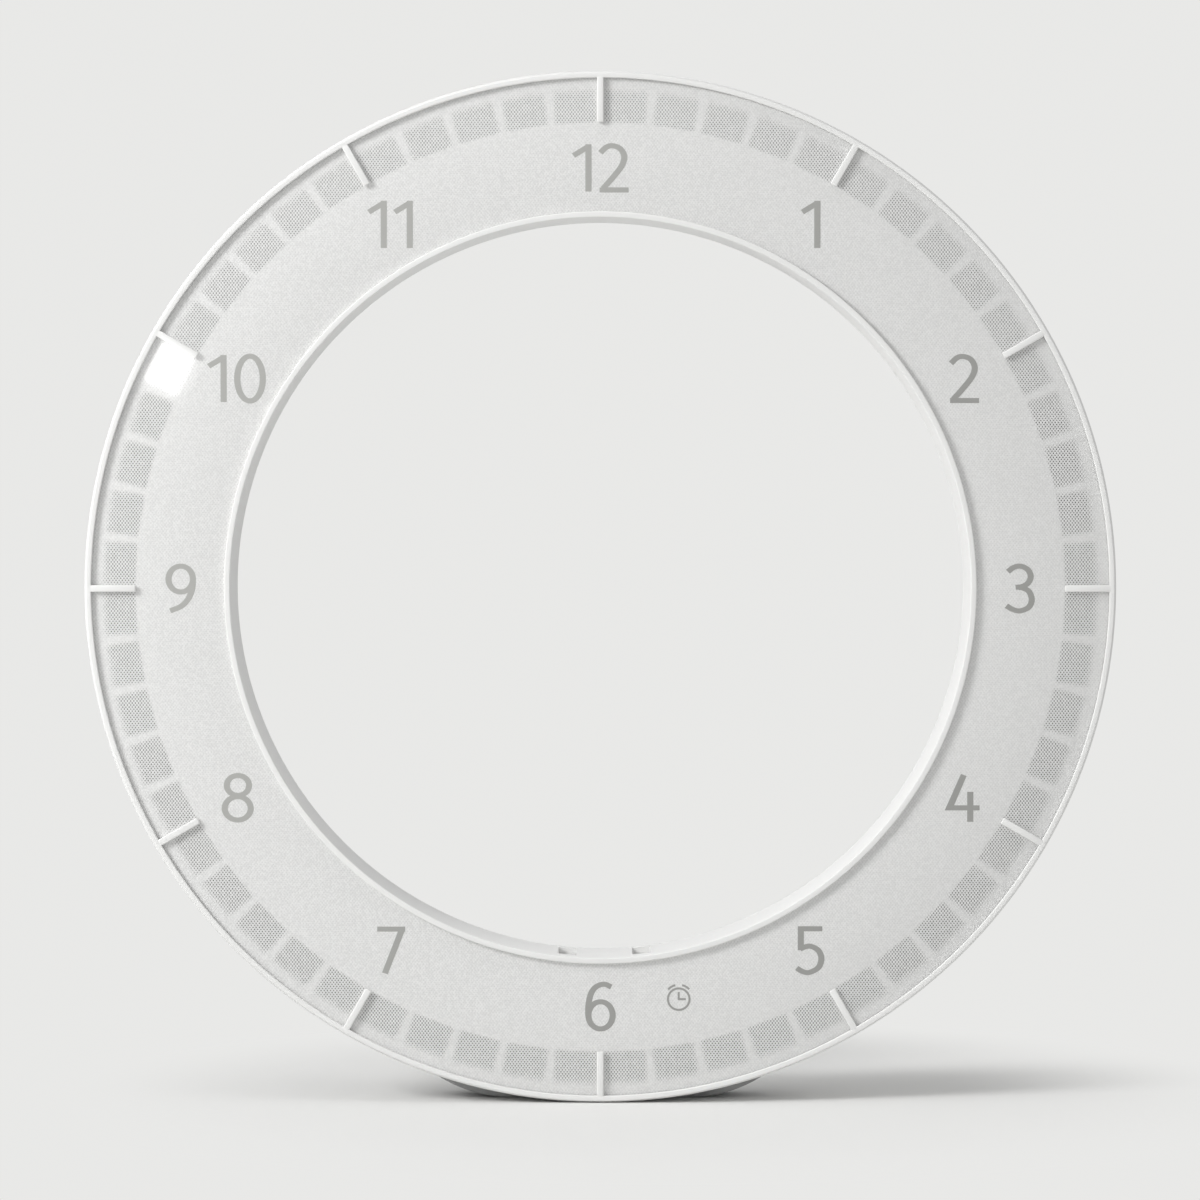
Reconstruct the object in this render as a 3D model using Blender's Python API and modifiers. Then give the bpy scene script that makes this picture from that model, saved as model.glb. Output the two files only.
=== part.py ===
"""Ring-shaped clock with an open centre, twelve hour bars and sixty lamps behind a cloth dial.

Every piece is modelled in the dial's own frame: X to the right and Y up as seen from the front,
Z towards the viewer, and z = 0 on the front of the two rims. The empty dial_axis stands that frame
upright, with the ring's lowest point and the flat of the foot on the ground plane.
All lengths are in metres and all angles in degrees.
"""

import math

import bmesh
import bpy
from mathutils import Matrix, Vector

# Overall sizes and fits
RING_RADIUS = 0.150
RING_WIDTH = 0.0424
RING_DEPTH = 0.025
FIT_GAP = 0.0003
THREAD_GAP = 0.0003
CUT_OVERRUN = 0.001
JOIN_OVERLAP = 0.0006
WELD_DISTANCE = 0.00001

# Rims, hour bars and the bezel's wall and rear lip
OUTER_RIM_WIDTH = 0.0021
BEZEL_WALL = 0.0015
INNER_RIM_WIDTH = 0.0017
RIM_ROUNDING = 0.0004
DIAL_RECESS = 0.0013
BAR_WIDTH = 0.00195
BEZEL_DEPTH = 0.0085
BEZEL_LIP_THICKNESS = 0.0012

# Body ring behind the bezel and the rear cover
BODY_INSET = 0.0028
BODY_WALL = 0.0015
COVER_THICKNESS = 0.0023
COVER_ROUNDING = 0.0007
SLEEVE_FLANGE_WIDTH = 0.0032
SLEEVE_FLANGE_THICKNESS = 0.0012

# Layers of the dial, front to back
FABRIC_THICKNESS = 0.0006
PLATE_THICKNESS = 0.0014
DIFFUSER_THICKNESS = 0.0008
DIFFUSER_LAP = 0.0010
GRID_FLANGE_WIDTH = 0.0055
BOARD_THICKNESS = 0.0016
BOARD_SPACING = 0.0023

# Light windows, cells and lamps
WINDOW_MARGIN = 0.0040
WINDOW_HEIGHT = 0.0092
WINDOW_WIDTH_SHARE = 0.87
CELL_MARGIN = 0.0001
LAMP_SIZE = 0.0050
LAMP_HEIGHT = 0.0016
LINK_LENGTH = 0.0080
LINK_WIDTH = 0.0060
LINK_THICKNESS = 0.0006

# Printed numerals and pictogram, a thin relief on the cloth
NUMERAL_HEIGHT = 0.0137
NUMERAL_INSET = 0.0004
PRINT_RELIEF = 0.0001
PRINT_ROOT = 0.0003
ICON_RADIUS = 0.00314
ICON_ARC_RADIUS = 0.0042
ICON_LINE = 0.0005
ICON_HAND_LENGTH = 0.0021

# Screws
COVER_SCREW_HEAD_RADIUS = 0.0026
COVER_SCREW_HEAD_HEIGHT = 0.0010
COVER_SCREW_SHANK_RADIUS = 0.0012
COVER_SCREW_LENGTH = 0.0070
COUNTERBORE_DEPTH = 0.0015
BOSS_RADIUS = 0.0032
BOSS_HEIGHT = 0.0080
SMALL_SCREW_HEAD_RADIUS = 0.0017
SMALL_SCREW_HEAD_HEIGHT = 0.0009
SMALL_SCREW_SHANK_RADIUS = 0.0010
SMALL_SCREW_LENGTH = 0.0050

# Push-buttons in the bottom of the hole's wall
BUTTON_PITCH = 0.0218
BUTTON_PAIR_OFFSET = 0.0012
WELL_WIDTH = 0.0054
WELL_SETBACK = 0.0058
WELL_REAR_MARGIN = 0.0010
WELL_SINK = 0.0012
POCKET_WALL = 0.0008
POCKET_DEPTH = 0.0036
CAP_FLANGE_WIDTH = 0.0007
CAP_FLANGE_THICKNESS = 0.0009
PLUNGER_RADIUS = 0.0011
PLUNGER_LENGTH = 0.0015
STEM_RADIUS = 0.0017
STEM_LENGTH = 0.0027
STEM_PROUD = 0.0017
SWITCH_SIZE = 0.0062
SWITCH_HEIGHT = 0.0036
SWITCH_BORE_DEPTH = 0.0023
BUTTON_BOARD_OVERHANG = 0.0020
BUTTON_BOARD_MARGIN = 0.0005
BUTTON_POST_RADIUS = 0.0024
BUTTON_POST_PITCH = 0.0085

# Control board and what it carries
CONTROL_MARGIN = 0.0042
CONTROL_CLEARANCE = 0.0026
CONTROL_ROOM = 0.0059
CONTROL_POST_RADIUS = 0.0023
CONTROL_POST_INSET = 0.0030
CONTROL_POST_CLEARANCE = 0.0048
CONTROL_SCREW_INSET = 0.0067
COMPONENT_INSET = 0.0085
CHIP_SIZE = 0.0070
CHIP_HEIGHT = 0.0010
CHIP_PLACE = 0.0098
REGULATOR_SIZE = (0.0065, 0.0035)
REGULATOR_HEIGHT = 0.0016
REGULATOR_PLACE = (0.0024, 0.0047)
CRYSTAL_SIZE = (0.0070, 0.0032)
CRYSTAL_CORNER = 0.0014
CRYSTAL_HEIGHT = 0.0026
CRYSTAL_PLACE = (0.0098, 0.0062)
CAPACITOR_RADIUS = 0.00315
CAPACITOR_HEIGHT = 0.0050
CAPACITOR_PLACE = 0.0118
BUZZER_RADIUS = 0.0060
BUZZER_HEIGHT = 0.0048
BUZZER_PORT_RADIUS = 0.0011
BUZZER_PORT_DEPTH = 0.0012
BUZZER_PLACE = 0.0225
SOUND_HOLE_RADIUS = 0.0008
SOUND_HOLE_PITCH = 0.0027
CELL_RADIUS = 0.00625
CELL_THICKNESS = 0.0020
HOLDER_SIZE = (0.0146, 0.0144)
HOLDER_HEIGHT = 0.0032
HOLDER_PLACE = (0.0223, 0.0020)
SOCKET_SIZE = (0.0090, 0.0033)
SOCKET_WALL = 0.00045
SOCKET_BORE_DEPTH = 0.0055
SOCKET_RECESS = 0.0003
TONGUE_SIZE = (0.0060, 0.0007)
TONGUE_SHORTFALL = 0.0009
SOCKET_CLEARANCE = 0.0005
CONNECTOR_SIZE = (0.0080, 0.0040)
CONNECTOR_PLACE = 0.0100
RIBBON_WIDTH = 0.0040
RIBBON_THICKNESS = 0.0005
RIBBON_PLACE = -0.0080
RIBBON_BEND = 0.0022
RIBBON_SETBACK = 0.0018

# Wall hanger
HANGER_MARGIN = 0.0047
HANGER_SIZE = (0.0300, 0.0240)
HANGER_THICKNESS = 0.0012
HANGER_CORNER = 0.0030
KEYHOLE_ENTRY_RADIUS = 0.0045
KEYHOLE_SLOT_WIDTH = 0.0044
KEYHOLE_ENTRY_DROP = 0.0035
KEYHOLE_SLOT_RISE = 0.0045
HANGER_OPENING_MARGIN = 0.0015
HANGER_SCREW_INSET = 0.0035
HANGER_SCREW_LENGTH = 0.0030

# Foot
FOOT_FLAT_HALF = 0.0260
FOOT_SIDE_RADIUS = 0.0400
FOOT_SCREW_LENGTH = 0.0050
FOOT_SCREW_PITCH = 0.0688

# Counts, turns and angles
RING_STEPS = 60
SMALL_STEPS = 8
ROUND_STEPS = 16
LAMP_COUNT = 60
HOUR_COUNT = 12
ARC_COUNT = 4
FULL_TURN = 360.0
LAMP_STEP = FULL_TURN / LAMP_COUNT
HOUR_STEP = FULL_TURN / HOUR_COUNT
ARC_STEP = FULL_TURN / ARC_COUNT
UP = 90.0
DOWN = -90.0
COVER_SCREW_ANGLES = (0.0, 60.0, 120.0, 180.0, 240.0, 300.0)
SLEEVE_SCREW_ANGLES = (60.0, 180.0, 300.0)
ICON_ANGLE = -79.0
BELL_START = 43.0
BELL_END = 76.0
BELL_STEPS = 3
SMOOTH_ANGLE = math.radians(35.0)
HEAD_TO_BACK = (math.pi, 0.0, 0.0)
HEAD_TO_FRONT = (0.0, 0.0, 0.0)

# Radii that follow from the sizes above
HOLE_RADIUS = RING_RADIUS - RING_WIDTH
RIM_INNER = RING_RADIUS - OUTER_RIM_WIDTH
BEZEL_INNER = RING_RADIUS - BEZEL_WALL
SLEEVE_OUTER = HOLE_RADIUS + INNER_RIM_WIDTH
DIAL_OUTER = BEZEL_INNER - FIT_GAP
DIAL_INNER = SLEEVE_OUTER + FIT_GAP
BODY_OUTER = RING_RADIUS - BODY_INSET
BODY_INNER = BODY_OUTER - BODY_WALL
GRID_OUTER = BODY_INNER - FIT_GAP
WINDOW_OUTER_RADIUS = DIAL_OUTER - WINDOW_MARGIN
WINDOW_INNER_RADIUS = WINDOW_OUTER_RADIUS - WINDOW_HEIGHT
WINDOW_WIDTH = WINDOW_INNER_RADIUS * math.radians(LAMP_STEP) * WINDOW_WIDTH_SHARE
NUMERAL_RADIUS = (DIAL_INNER + WINDOW_INNER_RADIUS) / 2 - NUMERAL_INSET
GRID_INNER = WINDOW_INNER_RADIUS - GRID_FLANGE_WIDTH
LAMP_RADIUS = (WINDOW_INNER_RADIUS + WINDOW_OUTER_RADIUS) / 2
LAMP_SCREW_RADIUS = GRID_INNER + GRID_FLANGE_WIDTH / 2
COVER_SCREW_RADIUS = BODY_INNER + JOIN_OVERLAP - BOSS_RADIUS
SLEEVE_SCREW_RADIUS = SLEEVE_OUTER - JOIN_OVERLAP + BOSS_RADIUS
PILOT_RADIUS = COVER_SCREW_SHANK_RADIUS + THREAD_GAP
SMALL_PILOT_RADIUS = SMALL_SCREW_SHANK_RADIUS + THREAD_GAP
HANGER_RADIUS = BODY_INNER - HANGER_MARGIN - HANGER_SIZE[1] / 2

# Levels along Z that follow from the sizes above
FABRIC_FRONT = -DIAL_RECESS
FABRIC_BACK = FABRIC_FRONT - FABRIC_THICKNESS
PLATE_FRONT = FABRIC_BACK - FIT_GAP
PLATE_BACK = PLATE_FRONT - PLATE_THICKNESS
DIFFUSER_FRONT = PLATE_BACK - FIT_GAP
DIFFUSER_BACK = DIFFUSER_FRONT - DIFFUSER_THICKNESS
GRID_FRONT = DIFFUSER_BACK - FIT_GAP
COVER_BACK = -RING_DEPTH
COVER_FRONT = COVER_BACK + COVER_THICKNESS
SHELL_BACK = COVER_FRONT + FIT_GAP
CONTROL_BACK = COVER_FRONT + CONTROL_ROOM
CONTROL_FRONT = CONTROL_BACK + BOARD_THICKNESS
COMPONENT_SEAT = CONTROL_BACK - FIT_GAP
LAMP_BOARD_BACK = CONTROL_FRONT + BOARD_SPACING
LAMP_BOARD_FRONT = LAMP_BOARD_BACK + BOARD_THICKNESS
GRID_BACK = LAMP_BOARD_FRONT + FIT_GAP
COUNTERBORE_FLOOR = COVER_BACK + COUNTERBORE_DEPTH
COVER_SCREW_SEAT = COUNTERBORE_FLOOR - FIT_GAP
BOSS_FRONT = SHELL_BACK + BOSS_HEIGHT

# Levels along Y for the buttons, which all press straight down
WELL_FRONT = -WELL_SETBACK
WELL_BACK = SHELL_BACK + WELL_REAR_MARGIN
WELL_MIDDLE = (WELL_FRONT + WELL_BACK) / 2
CAP_TOP = -(HOLE_RADIUS + WELL_SINK)
POCKET_BOTTOM = -(HOLE_RADIUS + POCKET_DEPTH)
CAP_FLANGE_TOP = POCKET_BOTTOM - FIT_GAP
CAP_FLANGE_BOTTOM = CAP_FLANGE_TOP - CAP_FLANGE_THICKNESS
PLUNGER_END = CAP_FLANGE_BOTTOM - PLUNGER_LENGTH
STEM_TOP = PLUNGER_END - FIT_GAP
SWITCH_TOP = STEM_TOP - STEM_PROUD
SWITCH_BOTTOM = SWITCH_TOP - SWITCH_HEIGHT
BUTTON_BOARD_TOP = SWITCH_BOTTOM - FIT_GAP
BUTTON_BOARD_BOTTOM = BUTTON_BOARD_TOP - BOARD_THICKNESS
BUTTON_BOARD_WIDTH = BUTTON_PITCH + SWITCH_SIZE + BUTTON_BOARD_OVERHANG * 2
BUTTON_PLACES = {
    "time": BUTTON_PAIR_OFFSET - BUTTON_PITCH / 2,
    "alarm": BUTTON_PAIR_OFFSET + BUTTON_PITCH / 2,
}

# Control board between the button board and the body's wall
CONTROL_INNER_RADIUS = CONTROL_CLEARANCE - BUTTON_BOARD_BOTTOM
CONTROL_OUTER_RADIUS = BODY_INNER - CONTROL_MARGIN
COMPONENT_RADIUS = CONTROL_OUTER_RADIUS - COMPONENT_INSET
CONTROL_SCREW_PLACE = HOLDER_PLACE[0] + HOLDER_SIZE[0] / 2 + CONTROL_POST_CLEARANCE
CONTROL_HALF_SPAN = CONTROL_SCREW_PLACE + CONTROL_SCREW_INSET
CONTROL_SCREW_HALF_ANGLE = math.degrees(math.asin(CONTROL_SCREW_PLACE / COMPONENT_RADIUS))
CONTROL_HALF_ANGLE = math.degrees(math.asin(CONTROL_HALF_SPAN / COMPONENT_RADIUS))
FOOT_SCREW_HALF_ANGLE = math.degrees(math.asin(FOOT_SCREW_PITCH / 2 / BODY_OUTER))

# Pen strokes of the digits, as shares of the numeral height from the digit's centre.
# A line and a curve list their points; an oval gives its centre and its two radii.
STEM_SHARE = 0.130
HAIRLINE_SHARE = 0.106
DIGIT_SHARES = {
    "0": [("oval", (0.0, 0.0), (0.271, 0.474))],
    "1": [
        ("line", (0.141, -0.498), (0.141, 0.498)),
        ("line", (-0.176, 0.260), (0.120, 0.440)),
    ],
    "2": [
        ("curve", (-0.281, 0.321), (-0.153, 0.438), (-0.022, 0.467), (0.138, 0.404),
         (0.223, 0.240), (0.167, 0.041), (-0.007, -0.187), (-0.225, -0.435)),
        ("line", (-0.298, -0.465), (0.316, -0.465)),
    ],
    "3": [
        ("curve", (-0.255, 0.357), (-0.132, 0.448), (0.013, 0.474), (0.167, 0.402),
         (0.231, 0.254), (0.173, 0.117), (0.051, 0.043), (-0.089, 0.026)),
        ("curve", (-0.020, 0.020), (0.070, 0.010), (0.196, -0.066), (0.255, -0.237),
         (0.188, -0.397), (0.007, -0.474), (-0.147, -0.445), (-0.284, -0.365)),
    ],
    "4": [
        ("line", (0.013, 0.487), (-0.290, -0.213), (0.351, -0.213)),
        ("line", (0.154, 0.127), (0.154, -0.509)),
    ],
    "5": [
        ("line", (0.271, 0.468), (-0.185, 0.468), (-0.185, 0.010)),
        ("curve", (-0.200, 0.035), (-0.102, 0.078), (0.026, 0.093), (0.186, 0.007),
         (0.253, -0.164), (0.189, -0.358), (-0.003, -0.464), (-0.148, -0.444), (-0.271, -0.370)),
    ],
    "6": [
        ("oval", (0.004, -0.188), (0.258, 0.290)),
        ("curve", (0.231, 0.418), (0.076, 0.478), (-0.099, 0.415), (-0.205, 0.260),
         (-0.254, 0.020), (-0.258, -0.188)),
    ],
    "7": [
        ("line", (-0.297, 0.461), (0.297, 0.461)),
        ("line", (0.228, 0.450), (-0.135, -0.485)),
    ],
    "8": [
        ("oval", (0.006, 0.265), (0.236, 0.212)),
        ("oval", (0.0, -0.223), (0.276, 0.249)),
    ],
    "9": [
        ("oval", (-0.004, 0.201), (0.259, 0.274)),
        ("curve", (0.255, 0.201), (0.240, 0.010), (0.170, -0.190), (0.020, -0.365),
         (-0.228, -0.475)),
    ],
}

# Digits of each hour, with their places across as shares of the numeral height
HOUR_SHARES = {
    1: [("1", 0.0)],
    2: [("2", 0.0)],
    3: [("3", 0.0)],
    4: [("4", 0.0)],
    5: [("5", 0.0)],
    6: [("6", 0.0)],
    7: [("7", 0.0)],
    8: [("8", 0.0)],
    9: [("9", 0.0)],
    10: [("1", -0.415), ("0", 0.285)],
    11: [("1", -0.275), ("1", 0.275)],
    12: [("1", -0.393), ("2", 0.282)],
}


def clear_scene():
    for item in list(bpy.data.objects):
        bpy.data.objects.remove(item, do_unlink=True)


def new_collection(name):
    group = bpy.data.collections.new(name)
    bpy.context.scene.collection.children.link(group)
    return group


def new_finish(name, colour, roughness, metallic=0.0):
    """One Principled BSDF material."""
    finish = bpy.data.materials.new(name)
    finish.use_nodes = True
    shader = finish.node_tree.nodes["Principled BSDF"]
    shader.inputs["Base Color"].default_value = (*colour, 1.0)
    shader.inputs["Roughness"].default_value = roughness
    shader.inputs["Metallic"].default_value = metallic
    finish.diffuse_color = (*colour, 1.0)
    return finish


clear_scene()
PARTS = new_collection("ring_clock")
CUTTERS = new_collection("ring_clock_cutters")

WHITE_SHELL = new_finish("white_shell", (0.83, 0.83, 0.82), 0.50)
WHITE_CLOTH = new_finish("white_cloth", (0.70, 0.70, 0.69), 0.90)
GREY_PLATE = new_finish("grey_plate", (0.55, 0.55, 0.55), 0.60)
MILKY_SHEET = new_finish("milky_sheet", (0.80, 0.80, 0.80), 0.40)
DARK_RUBBER = new_finish("dark_rubber", (0.25, 0.25, 0.25), 0.85)
WHITE_KEY = new_finish("white_key", (0.80, 0.80, 0.79), 0.45)
BLACK_PLASTIC = new_finish("black_plastic", (0.03, 0.03, 0.03), 0.45)
GREEN_BOARD = new_finish("green_board", (0.03, 0.20, 0.09), 0.45)
WHITE_BOARD = new_finish("white_board", (0.78, 0.78, 0.75), 0.45)
STEEL = new_finish("steel", (0.60, 0.60, 0.61), 0.32, 1.0)
ALUMINIUM_CAN = new_finish("aluminium_can", (0.70, 0.70, 0.71), 0.35, 1.0)
GOLD_LINK = new_finish("gold_link", (0.80, 0.60, 0.25), 0.30, 1.0)
GREY_RIBBON = new_finish("grey_ribbon", (0.45, 0.45, 0.47), 0.55)


def new_frame(name, location, rotation, parent=None):
    """Empty that carries pieces, with its origin where they belong."""
    frame = bpy.data.objects.new(name, None)
    PARTS.objects.link(frame)
    frame.parent = parent
    frame.location = location
    frame.rotation_euler = rotation
    return frame


DIAL_AXIS = new_frame(
    "dial_axis", (0.0, -RING_DEPTH / 2, RING_RADIUS), (math.radians(UP), 0.0, 0.0)
)


def add_part(name, mesh, finish, location=(0.0, 0.0, 0.0), rotation=(0.0, 0.0, 0.0), parent=None):
    """Named object in the dial's frame, shaded smooth where it is round."""
    mesh.name = name
    mesh.materials.clear()
    mesh.materials.append(finish)
    mesh.shade_smooth()
    mesh.set_sharp_from_angle(angle=SMOOTH_ANGLE)
    part = bpy.data.objects.new(name, mesh)
    PARTS.objects.link(part)
    part.parent = parent or DIAL_AXIS
    part.location = location
    part.rotation_euler = rotation
    return part


def combine(part, mesh, operation):
    """Joins a mesh to a part, or cuts it away, in the part's own frame."""
    cutter = bpy.data.objects.new(part.name + "_" + operation.lower(), mesh)
    CUTTERS.objects.link(cutter)
    cutter.parent = part
    cutter.hide_render = True
    cutter.display_type = "WIRE"
    change = part.modifiers.new(operation.title(), "BOOLEAN")
    change.operation = operation
    change.solver = "EXACT"
    change.object = cutter


def evaluated_mesh(helper):
    """Mesh of a helper object with its modifiers applied; the helper is removed."""
    bpy.context.view_layer.update()
    graph = bpy.context.evaluated_depsgraph_get()
    mesh = bpy.data.meshes.new_from_object(helper.evaluated_get(graph))
    bpy.data.objects.remove(helper, do_unlink=True)
    return mesh


def welded(mesh):
    """Closes the seams of a mesh and turns its faces outwards."""
    work = bmesh.new()
    work.from_mesh(mesh)
    bmesh.ops.remove_doubles(work, verts=work.verts, dist=WELD_DISTANCE)
    bmesh.ops.recalc_face_normals(work, faces=work.faces)
    work.to_mesh(mesh)
    work.free()
    return mesh


def turned(profile, steps):
    """Solid turned about Z. The profile of (radius, z) runs down its outer side."""
    count = len(profile)
    closed = profile[0][0] > 0.0
    last = count if closed else count - 1
    mesh = bpy.data.meshes.new("profile")
    edges = [(index, (index + 1) % count) for index in range(last)]
    mesh.from_pydata([(radius, 0.0, level) for radius, level in profile], edges, [])
    helper = bpy.data.objects.new("profile", mesh)
    PARTS.objects.link(helper)
    screw = helper.modifiers.new("Turn", "SCREW")
    screw.axis = "Z"
    screw.steps = steps
    screw.render_steps = steps
    screw.use_merge_vertices = True
    screw.merge_threshold = WELD_DISTANCE
    return evaluated_mesh(helper)


def flat(outlines, back, front):
    """Flat piece between two levels; outlines inside the first one are openings."""
    curve = bpy.data.curves.new("outline", "CURVE")
    curve.dimensions = "2D"
    curve.fill_mode = "BOTH"
    curve.extrude = (front - back) / 2
    for outline in outlines:
        spline = curve.splines.new("POLY")
        spline.points.add(len(outline) - 1)
        for point, place in zip(spline.points, outline):
            point.co = (place[0], place[1], 0.0, 1.0)
        spline.use_cyclic_u = True
    helper = bpy.data.objects.new("outline", curve)
    PARTS.objects.link(helper)
    mesh = evaluated_mesh(helper)
    mesh.transform(Matrix.Translation((0.0, 0.0, (front + back) / 2)))
    return welded(mesh)


def polar(radius, angle):
    turn = math.radians(angle)
    return Vector((radius * math.cos(turn), radius * math.sin(turn)))


def circle(radius, steps, centre=(0.0, 0.0)):
    middle = Vector(centre)
    return [middle + polar(radius, FULL_TURN * index / steps) for index in range(steps)]


def arc(radius, start, end, steps, centre=(0.0, 0.0)):
    middle = Vector(centre)
    return [middle + polar(radius, start + (end - start) * index / steps) for index in range(steps + 1)]


def sector(inner, outer, start, end, steps):
    return arc(outer, start, end, steps) + arc(inner, end, start, steps)


def spoke_rectangle(inner, outer, width, angle):
    """Rectangle across a spoke of the ring."""
    turn = Matrix.Rotation(math.radians(angle), 2)
    corners = [(inner, -width / 2), (outer, -width / 2), (outer, width / 2), (inner, width / 2)]
    return [turn @ Vector(corner) for corner in corners]


def rounded_rectangle(width, height, corner, centre=(0.0, 0.0), steps=3):
    middle = Vector(centre)
    across = width / 2 - corner
    along = height / 2 - corner
    points = []
    for quarter, (side_x, side_y) in enumerate([(1, 1), (-1, 1), (-1, -1), (1, -1)]):
        place = middle + Vector((side_x * across, side_y * along))
        points += arc(corner, quarter * UP, quarter * UP + UP, steps, place)
    return points


def add_box(work, low, high, turn=Matrix()):
    """Box between two corners, turned afterwards."""
    low = Vector(low)
    high = Vector(high)
    size = Matrix.Diagonal((*(high - low), 1.0))
    bmesh.ops.create_cube(work, size=1.0, matrix=turn @ Matrix.Translation((low + high) / 2) @ size)


def add_rod(work, radius, start, end, sides=SMALL_STEPS):
    """Round rod between two points."""
    start = Vector(start)
    end = Vector(end)
    reach = end - start
    place = Matrix.Translation((start + end) / 2) @ reach.to_track_quat("Z", "Y").to_matrix().to_4x4()
    bmesh.ops.create_cone(
        work, cap_ends=True, segments=sides, radius1=radius, radius2=radius, depth=reach.length, matrix=place
    )


def finished_mesh(work, name):
    mesh = bpy.data.meshes.new(name)
    work.to_mesh(mesh)
    work.free()
    return mesh


def boxes_mesh(boxes, name="boxes"):
    work = bmesh.new()
    for low, high in boxes:
        add_box(work, low, high)
    return finished_mesh(work, name)


def rods_mesh(rods, name="rods"):
    """Rods given as (radius, start, end)."""
    work = bmesh.new()
    for radius, start, end in rods:
        add_rod(work, radius, start, end)
    return finished_mesh(work, name)


def screw_mesh(head_radius, head_height, shank_radius, length):
    """Screw along Z with the underside of its head at z = 0."""
    profile = [
        (0.0, head_height),
        (head_radius, head_height),
        (head_radius, 0.0),
        (shank_radius, 0.0),
        (shank_radius, -length),
        (0.0, -length),
    ]
    return turned(profile, SMALL_STEPS)


def cover_screw(length=COVER_SCREW_LENGTH):
    return screw_mesh(
        COVER_SCREW_HEAD_RADIUS, COVER_SCREW_HEAD_HEIGHT, COVER_SCREW_SHANK_RADIUS, length
    )


def small_screw(length=SMALL_SCREW_LENGTH):
    return screw_mesh(
        SMALL_SCREW_HEAD_RADIUS, SMALL_SCREW_HEAD_HEIGHT, SMALL_SCREW_SHANK_RADIUS, length
    )


def add_screws(name, mesh, places, level, rotation=HEAD_TO_BACK):
    """Numbered screws that share one mesh, with their heads on one level."""
    for number, (x, y) in enumerate(places, start=1):
        add_part(f"{name}_{number}", mesh, STEEL, (x, y, level), rotation)


def make_outer_bezel():
    """Outer rim that laps over the cloth's edge, with the twelve hour bars and the rear lip."""
    rim_back = FABRIC_FRONT + FIT_GAP
    lip_front = -BEZEL_DEPTH
    lip_back = lip_front - BEZEL_LIP_THICKNESS
    lip_radius = BODY_OUTER + FIT_GAP
    profile = [
        (RING_RADIUS - RIM_ROUNDING, 0.0),
        (RING_RADIUS, -RIM_ROUNDING),
        (RING_RADIUS, lip_back),
        (lip_radius, lip_back),
        (lip_radius, lip_front),
        (BEZEL_INNER, lip_front),
        (BEZEL_INNER, rim_back),
        (RIM_INNER, rim_back),
        (RIM_INNER, -RIM_ROUNDING),
        (RIM_INNER + RIM_ROUNDING, 0.0),
    ]
    bezel = add_part("outer_bezel", turned(profile, RING_STEPS), WHITE_SHELL)
    bars = bmesh.new()
    low = (WINDOW_INNER_RADIUS, -BAR_WIDTH / 2, rim_back)
    high = (BEZEL_INNER + JOIN_OVERLAP, BAR_WIDTH / 2, 0.0)
    for hour in range(HOUR_COUNT):
        add_box(bars, low, high, Matrix.Rotation(math.radians(hour * HOUR_STEP), 4, "Z"))
    combine(bezel, finished_mesh(bars, "bars"), "UNION")


def screw_bosses(radius, angles):
    """Round bosses for the cover's screws, with their pilot holes."""
    bosses = []
    pilots = []
    for angle in angles:
        x, y = polar(radius, angle)
        bosses.append((BOSS_RADIUS, (x, y, SHELL_BACK), (x, y, BOSS_FRONT)))
        end = BOSS_FRONT - CUT_OVERRUN
        pilots.append((PILOT_RADIUS, (x, y, SHELL_BACK - CUT_OVERRUN), (x, y, end)))
    return bosses, pilots


def make_inner_sleeve():
    """Inner rim and the hole's wall, with the flange that carries the dial and two button wells."""
    flange_back = DIFFUSER_FRONT - SLEEVE_FLANGE_THICKNESS
    flange_radius = SLEEVE_OUTER + SLEEVE_FLANGE_WIDTH
    profile = [
        (SLEEVE_OUTER - RIM_ROUNDING, 0.0),
        (SLEEVE_OUTER, -RIM_ROUNDING),
        (SLEEVE_OUTER, DIFFUSER_FRONT),
        (flange_radius, DIFFUSER_FRONT),
        (flange_radius, flange_back),
        (SLEEVE_OUTER, flange_back),
        (SLEEVE_OUTER, SHELL_BACK),
        (HOLE_RADIUS, SHELL_BACK),
        (HOLE_RADIUS, -RIM_ROUNDING),
        (HOLE_RADIUS + RIM_ROUNDING, 0.0),
    ]
    sleeve = add_part("inner_sleeve", turned(profile, RING_STEPS), WHITE_SHELL)
    root = -(HOLE_RADIUS + FIT_GAP)
    side = WELL_WIDTH / 2 + POCKET_WALL
    pockets = []
    wells = []
    for place in BUTTON_PLACES.values():
        low = (place - side, POCKET_BOTTOM, WELL_BACK - POCKET_WALL)
        high = (place + side, root, WELL_FRONT + POCKET_WALL)
        pockets.append((low, high))
        low = (place - WELL_WIDTH / 2, POCKET_BOTTOM - CUT_OVERRUN, WELL_BACK)
        high = (place + WELL_WIDTH / 2, CUT_OVERRUN * 2 - HOLE_RADIUS, WELL_FRONT)
        wells.append((low, high))
    combine(sleeve, boxes_mesh(pockets), "UNION")
    bosses, pilots = screw_bosses(SLEEVE_SCREW_RADIUS, SLEEVE_SCREW_ANGLES)
    post_end = BUTTON_BOARD_TOP + FIT_GAP
    for level in button_post_levels():
        x = BUTTON_PAIR_OFFSET
        bosses.append((BUTTON_POST_RADIUS, (x, post_end, level), (x, root, level)))
        pilot_end = (x, post_end + SMALL_SCREW_LENGTH, level)
        pilots.append((SMALL_PILOT_RADIUS, (x, post_end - CUT_OVERRUN, level), pilot_end))
    combine(sleeve, rods_mesh(bosses), "UNION")
    combine(sleeve, boxes_mesh(wells), "DIFFERENCE")
    combine(sleeve, rods_mesh(pilots), "DIFFERENCE")


def button_post_levels():
    return [WELL_MIDDLE + BUTTON_POST_PITCH / 2, WELL_MIDDLE - BUTTON_POST_PITCH / 2]


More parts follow.
